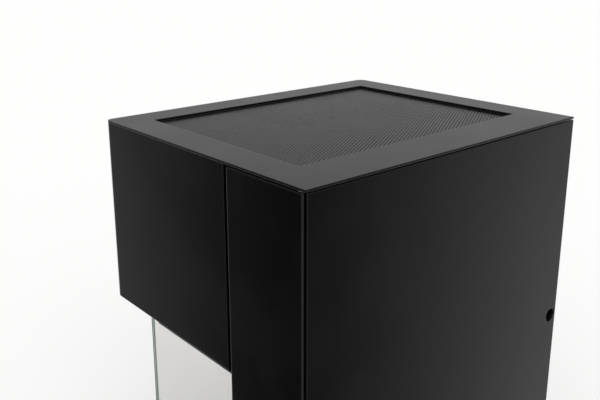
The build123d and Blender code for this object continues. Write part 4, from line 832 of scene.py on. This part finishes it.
# %% Make the case screws
SCREW_COLUMNS = (-105.0, 30.0, 70.0)
SCREW_ROWS = (60.0, 250.0)

back_face = span("case_screws", "Y")[1]
screw_places = [(x, back_face, z) for x in SCREW_COLUMNS for z in SCREW_ROWS]
case_screws = run_tree(screws, "panel_screws", "screw_steel", screw_places)
declare(case_screws, "cabinet", "screw_steel", "case_screws")

# %% [markdown]
# ## The ribbed work mat
#
# The silicone mat has fine ribs that keep small parts from rolling and let hot parts cool. Ribs are
# an exact repeat, so a tree lays one rounded rib on a line of points over a flat base.

# %% The tree of the mat
MAT_SIZES = {"Width": 0.16, "Depth": 0.33, "Base": 0.0014, "Rib Height": 0.0006, "Pitch": 0.003,
             "Border": 0.006}

mat, sizes = new_tree("ribbed_mat", MAT_SIZES, places=True)
base_lift = vector(mat, z=times(mat, sizes["Base"], 0.5))
base = moved(mat, box(mat, sizes["Width"], sizes["Depth"], sizes["Base"]), Translation=base_lift)
ribbed_depth = maths(mat, "MULTIPLY_ADD", sizes["Border"], -2.0, sizes["Depth"])
rib_count = maths(mat, "FLOOR", maths(mat, "DIVIDE", ribbed_depth, sizes["Pitch"]))
rib_number = add(mat, "GeometryNodeInputIndex").outputs[0]
from_middle = maths(mat, "SUBTRACT", rib_number, maths(mat, "MULTIPLY_ADD", rib_count, 0.5, -0.5))
rib_place = vector(mat, y=times(mat, from_middle, sizes["Pitch"]), z=sizes["Base"])
rib_length = maths(mat, "MULTIPLY_ADD", sizes["Border"], -2.0, sizes["Width"])
rib_sizes = {"Vertices": 8, "Radius": sizes["Rib Height"], "Depth": rib_length}
rib = add(mat, "GeometryNodeMeshCylinder", rib_sizes)
rib = moved(mat, rib.outputs["Mesh"], Rotation=(0.0, math.pi / 2, 0.0))
ribs = copies(mat, point_set(mat, rib_count, rib_place), rib)
end_tree(mat, joined(mat, ribs, base), sizes)

# %% Make the ribbed mat
MAT_BASE = 1.4
MAT_BORDER = 5.0
MAT_RIB_PITCH = 3.0

mat_middle, mat_size = measure("work_mat")
mat_place = (mat_middle[0], mat_middle[1], span("work_mat", "Z")[0])
work_mat = run_tree(mat, "ribbed_work_mat", "silicone", [mat_place], Width=mat_size[0] * MM,
                    Depth=mat_size[1] * MM, Base=MAT_BASE * MM, Rib_Height=(mat_size[2] - MAT_BASE) * MM,
                    Pitch=MAT_RIB_PITCH * MM, Border=MAT_BORDER * MM)
declare(work_mat, "cabinet", "silicone", "work_mat")

# %% [markdown]
# ## The speed knob and its scale
#
# The knob is moulded with fine ribs round its side for grip, a rounded front edge and a shallow
# dish. Its outline is one ring of points whose radius follows the ribs, repeated at a few depths:
# a lathe shape with a rule, so it is written as rings. The pointer is a light bar let into the
# front, and the scale is printed round it on the panel.

# %% Make the knob
KNOB_POINTS = 144
KNOB_RIBS = 36
RIB_DEPTH = 0.4
# Each ring is a distance from the front face, a share of the radius and a share of the rib depth.
KNOB_RINGS = (
    (1.0, 0.0, 0.0), (0.9, 0.30, 0.0), (0.35, 0.72, 0.0), (0.0, 0.80, 0.0), (0.02, 0.86, 0.0),
    (0.35, 0.935, 0.0), (0.9, 0.985, 0.5), (1.5, 1.0, 1.0), (7.6, 1.0, 1.0), (8.1, 0.97, 0.4),
    (8.1, 0.60, 0.0), (8.1, 0.0, 0.0))
POINTER_HALF_WIDTH = 0.55
POINTER_PROUD, POINTER_SUNK = 0.25, 1.3
POINTER_INNER, POINTER_OUTER = 2.2, 7.0
POINTER_BEVEL = 0.12
KNOB_SET_BACK = 0.4


def lathe_y(name, centre, front_y, radius, rings, count, ribs, rib_depth, material):
    """A closed shape turned about a line along Y, with ribs; a ring of radius 0 is one point."""
    points, faces, starts = [], [], []
    for depth, share, rib_share in rings:
        starts.append(len(points))
        for step in range(count if share > 0.0 else 1):
            angle = 2.0 * math.pi * step / count
            groove = rib_depth * rib_share * (0.5 - 0.5 * math.cos(ribs * angle))
            reach = radius * share - groove
            x, z = centre[0] + reach * math.cos(angle), centre[1] + reach * math.sin(angle)
            points.append((x, front_y + depth, z))
    for index in range(len(rings) - 1):
        first, second = starts[index], starts[index + 1]
        for step in range(count):
            following = (step + 1) % count
            if rings[index][1] == 0.0:
                faces.append((first, second + step, second + following))
            elif rings[index + 1][1] == 0.0:
                faces.append((first + following, first + step, second))
            else:
                faces.append((first + step, second + step, second + following, first + following))
    made = piece_from(name, points, faces, material)
    outward(made)
    return made


knob_middle, knob_size = measure("speed_knob")
knob_x, knob_z = knob_middle[0], knob_middle[2]
knob_front = span("speed_knob", "Y")[0] + KNOB_SET_BACK
knob_grip = lathe_y("knob_grip", (knob_x, knob_z), knob_front, knob_size[0] / 2, KNOB_RINGS, KNOB_POINTS,
                    KNOB_RIBS, RIB_DEPTH, "black_plastic")
declare(knob_grip, "knob", "black_plastic", "speed_knob")
pointer_low = (knob_x - POINTER_HALF_WIDTH, knob_front - POINTER_PROUD, knob_z + POINTER_INNER)
pointer_high = (knob_x + POINTER_HALF_WIDTH, knob_front + POINTER_SUNK, knob_z + POINTER_OUTER)
pointer = bevelled_box("knob_pointer", pointer_low, pointer_high, POINTER_BEVEL, 2, "nylon")
declare(pointer, "knob", "nylon")

# %% [markdown]
# ### The scale
#
# Eleven printed ticks run round the knob, one at each number and one between. A tree repeats one
# tick round an arc. Print has almost no thickness, so each tick is a very thin box on the panel.
# The numbers are text made into plain meshes.

# %% The tree of the ticks
TICK_SIZES = {"Count": 11, "Sweep": 5.236, "Radius": 0.011, "Length": 0.0018, "Line": 0.0004,
              "Print": 0.00006}

ticks, sizes = new_tree("scale_ticks", TICK_SIZES, places=True)
tick_number = add(ticks, "GeometryNodeInputIndex").outputs[0]
gaps = maths(ticks, "SUBTRACT", sizes["Count"], 1.0)
share = maths(ticks, "SUBTRACT", maths(ticks, "DIVIDE", tick_number, gaps), 0.5)
turn = times(ticks, share, sizes["Sweep"])
tick_x = times(ticks, maths(ticks, "SINE", turn), sizes["Radius"])
tick_z = times(ticks, maths(ticks, "COSINE", turn), sizes["Radius"])
tick_points = point_set(ticks, sizes["Count"], vector(ticks, tick_x, z=tick_z))
tick = box(ticks, sizes["Line"], sizes["Print"], sizes["Length"])
end_tree(ticks, copies(ticks, tick_points, tick, Rotation=vector(ticks, y=turn)), sizes)

# %% Make the ticks and the numbers
SCALE_SWEEP = math.radians(300.0)
SCALE_RADIUS = 11.4
TICK_COUNT = 11
TICK_LENGTH, TICK_WIDTH = 1.8, 0.4
NUMBER_RADIUS = 15.2
NUMBER_HEIGHT = 3.0
LAST_NUMBER = 5
# A font's size is larger than its digits are high.
FONT_SIZE_PER_HEIGHT = 1.35
PRINT_THICKNESS = 0.06
PRINT_WELD = 0.001
PANEL_SHEET = 1.5

print_y = span("control_fascia", "Y")[1] - PANEL_SHEET - PRINT_THICKNESS / 2
scale = run_tree(ticks, "scale_ticks", "nylon", [(knob_x, print_y, knob_z)], Count=TICK_COUNT,
                 Sweep=SCALE_SWEEP, Radius=SCALE_RADIUS * MM, Length=TICK_LENGTH * MM,
                 Line=TICK_WIDTH * MM, Print=PRINT_THICKNESS * MM)
declare(scale, "cabinet", "nylon")


def printed_text(name, text, height, place, material):
    """Text as a thin closed mesh that stands upright and faces the front."""
    curve = bpy.data.curves.new(name, "FONT")
    curve.body = text
    curve.size = height * FONT_SIZE_PER_HEIGHT
    curve.align_x = "CENTER"
    curve.align_y = "CENTER"
    curve.extrude = PRINT_THICKNESS / 2
    curve.resolution_u = 3
    writing = put(name + "_curve", curve)
    flat = bpy.data.meshes.new_from_object(writing.evaluated_get(bpy.context.evaluated_depsgraph_get()))
    points = [(place[0] + v.co.x, place[1] - v.co.z, place[2] + v.co.y) for v in flat.vertices]
    made = piece_from(name, points, [tuple(face.vertices) for face in flat.polygons], material)
    bpy.data.objects.remove(writing)
    outward(made, PRINT_WELD)
    return made


for number in range(LAST_NUMBER + 1):
    turn = SCALE_SWEEP * (number / LAST_NUMBER - 0.5)
    spot = (knob_x + NUMBER_RADIUS * math.sin(turn), print_y, knob_z + NUMBER_RADIUS * math.cos(turn))
    writing = printed_text("scale_number_" + str(number), str(number), NUMBER_HEIGHT, spot, "nylon")
    declare(writing, "cabinet", "nylon")

# %% [markdown]
# ## The filters behind the door
#
# Behind the service door stand a coarse mat, a pleated particle filter and a bed of carbon. They
# show when the door is open, so they get their real texture: soft lumps in the mat, narrow folds of
# paper and loose granules.

# %% Make the pleated paper
PLEAT_PITCH = 4.4
PAPER_THICKNESS = 0.6
CREST_HALF_WIDTH = 0.35

paper_x, paper_y, paper_z = (span("particle_pleats", axis) for axis in "XYZ")
folded_length = paper_y[1] - paper_y[0] - 2 * PAPER_THICKNESS
folds = int(folded_length // PLEAT_PITCH) * 2
fold_step = folded_length / folds
crest_line = []
for fold in range(folds + 1):
    fold_y = paper_y[0] + PAPER_THICKNESS + fold * fold_step
    crest_x = paper_x[0] + PAPER_THICKNESS if fold % 2 == 0 else paper_x[1] - PAPER_THICKNESS
    for side in (-1, 1):
        crest_line.append((crest_x, min(max(fold_y + side * CREST_HALF_WIDTH, paper_y[0]), paper_y[1])))
outline = [(x - PAPER_THICKNESS / 2, y) for x, y in crest_line]
outline += [(x + PAPER_THICKNESS / 2, y) for x, y in reversed(crest_line)]
total = len(outline)
points = [(x, y, z) for z in paper_z for x, y in outline]
faces = [(i, (i + 1) % total, (i + 1) % total + total, i + total) for i in range(total)]
for step in range(total // 2 - 1):
    strip = (step, step + 1, total - 2 - step, total - 1 - step)
    faces.append(strip)
    faces.append(tuple(corner + total for corner in reversed(strip)))
pleats = piece_from("pleated_paper", points, faces, "filter_paper")
outward(pleats)
declare(pleats, "cabinet", "filter_paper", "particle_pleats")
print("folds", folds)

# %% [markdown]
# ### Mat and carbon bed
#
# The mat is a box with many small faces, pushed in and out by noise. The carbon is a tray of grains:
# a tree spreads points over the two open faces with a fixed seed and puts a rough grain of its own
# size and turn on each of them.

# %% The tree of the lumpy mat
FLEECE_SIZES = {"Size X": 0.01, "Size Y": 0.3, "Size Z": 0.2, "Lump": 0.0012, "Lump Size": 0.006}
FLEECE_GRID = {"Vertices X": 5, "Vertices Y": 150, "Vertices Z": 100}

fleece, sizes = new_tree("lumpy_mat", FLEECE_SIZES, places=True)
cloth = box(fleece, sizes["Size X"], sizes["Size Y"], sizes["Size Z"], **FLEECE_GRID)
lumps = noise(fleece, add(fleece, "GeometryNodeInputPosition").outputs[0], sizes["Lump Size"], 3.0)
deepest = times(fleece, sizes["Lump"], -1.0)
sunk = times(fleece, remap(fleece, lumps, 0.3, 0.7, 0.0, 1.0), deepest)
cloth_normal = add(fleece, "GeometryNodeInputNormal").outputs[0]
push = scaled(fleece, cloth_normal, sunk)
soft = add(fleece, "GeometryNodeSetPosition", {"Geometry": cloth, "Offset": push}).outputs[0]
end_tree(fleece, soft, sizes)

# %% Make the lumpy mat
LUMP_DEPTH, LUMP_SIZE = 1.3, 7.0

fleece_middle, fleece_size = measure("prefilter_mat")
fleece_mat = run_tree(fleece, "lumpy_prefilter", "filter_mat", [fleece_middle], Size_X=fleece_size[0] * MM,
                      Size_Y=fleece_size[1] * MM, Size_Z=fleece_size[2] * MM, Lump=LUMP_DEPTH * MM,
                      Lump_Size=LUMP_SIZE * MM)
declare(fleece_mat, "cabinet", "filter_mat", "prefilter_mat")

# %% The tree of the carbon grains
BED_SIZES = {"Size X": 0.026, "Size Y": 0.288, "Size Z": 0.188, "Grain": 0.0016, "Spacing": 0.0022,
             "Density": 60000.0, "Seed": 4}
SMALLEST_GRAIN, LARGEST_GRAIN = 0.6, 0.95
OPEN_FACING = 0.9
ANY_TURN = (6.28, 6.28, 6.28)

grains, sizes = new_tree("carbon_grains", BED_SIZES, places=True)
bed = box(grains, sizes["Size X"], sizes["Size Y"], sizes["Size Z"])
bed_normal = add(grains, "GeometryNodeInputNormal").outputs[0]
bed_facing = add(grains, "ShaderNodeSeparateXYZ", {0: bed_normal}).outputs["X"]
open_face = add(grains, "FunctionNodeCompare", {0: maths(grains, "ABSOLUTE", bed_facing), 1: OPEN_FACING},
                data_type="FLOAT", operation="GREATER_THAN").outputs[0]
scatter = add(grains, "GeometryNodeDistributePointsOnFaces", {
    "Mesh": bed, "Selection": open_face, "Distance Min": sizes["Spacing"], "Density Max": sizes["Density"],
    "Seed": sizes["Seed"]}, distribute_method="POISSON").outputs["Points"]
chip = add(grains, "GeometryNodeMeshIcoSphere", {"Radius": sizes["Grain"], "Subdivisions": 1}).outputs["Mesh"]
grain_range = {2: SMALLEST_GRAIN, 3: LARGEST_GRAIN, "Seed": sizes["Seed"]}
grain_scale = add(grains, "FunctionNodeRandomValue", grain_range, data_type="FLOAT").outputs[1]
turns = add(grains, "FunctionNodeRandomValue", {0: (0.0, 0.0, 0.0), 1: ANY_TURN, "Seed": sizes["Seed"]},
            data_type="FLOAT_VECTOR").outputs[0]
chips = copies(grains, scatter, chip, Rotation=turns, Scale=grain_scale)
end_tree(grains, joined(grains, chips, bed), sizes)

# %% Make the carbon bed
GRAIN_RADIUS = 1.9
GRAIN_SPACING = 2.6
GRAIN_DENSITY = 250000.0
GRAIN_SEED = 4
BED_SUNK = 1.0

bed_middle, bed_size = measure("carbon_core")
carbon_bed = run_tree(grains, "carbon_bed", "carbon", [bed_middle], Size_X=(bed_size[0] - 2 * BED_SUNK) * MM,
                      Size_Y=(bed_size[1] - 2 * BED_SUNK) * MM, Size_Z=(bed_size[2] - 2 * BED_SUNK) * MM,
                      Grain=GRAIN_RADIUS * MM, Spacing=GRAIN_SPACING * MM, Density=GRAIN_DENSITY,
                      Seed=GRAIN_SEED)
declare(carbon_bed, "cabinet", "carbon", "carbon_core")
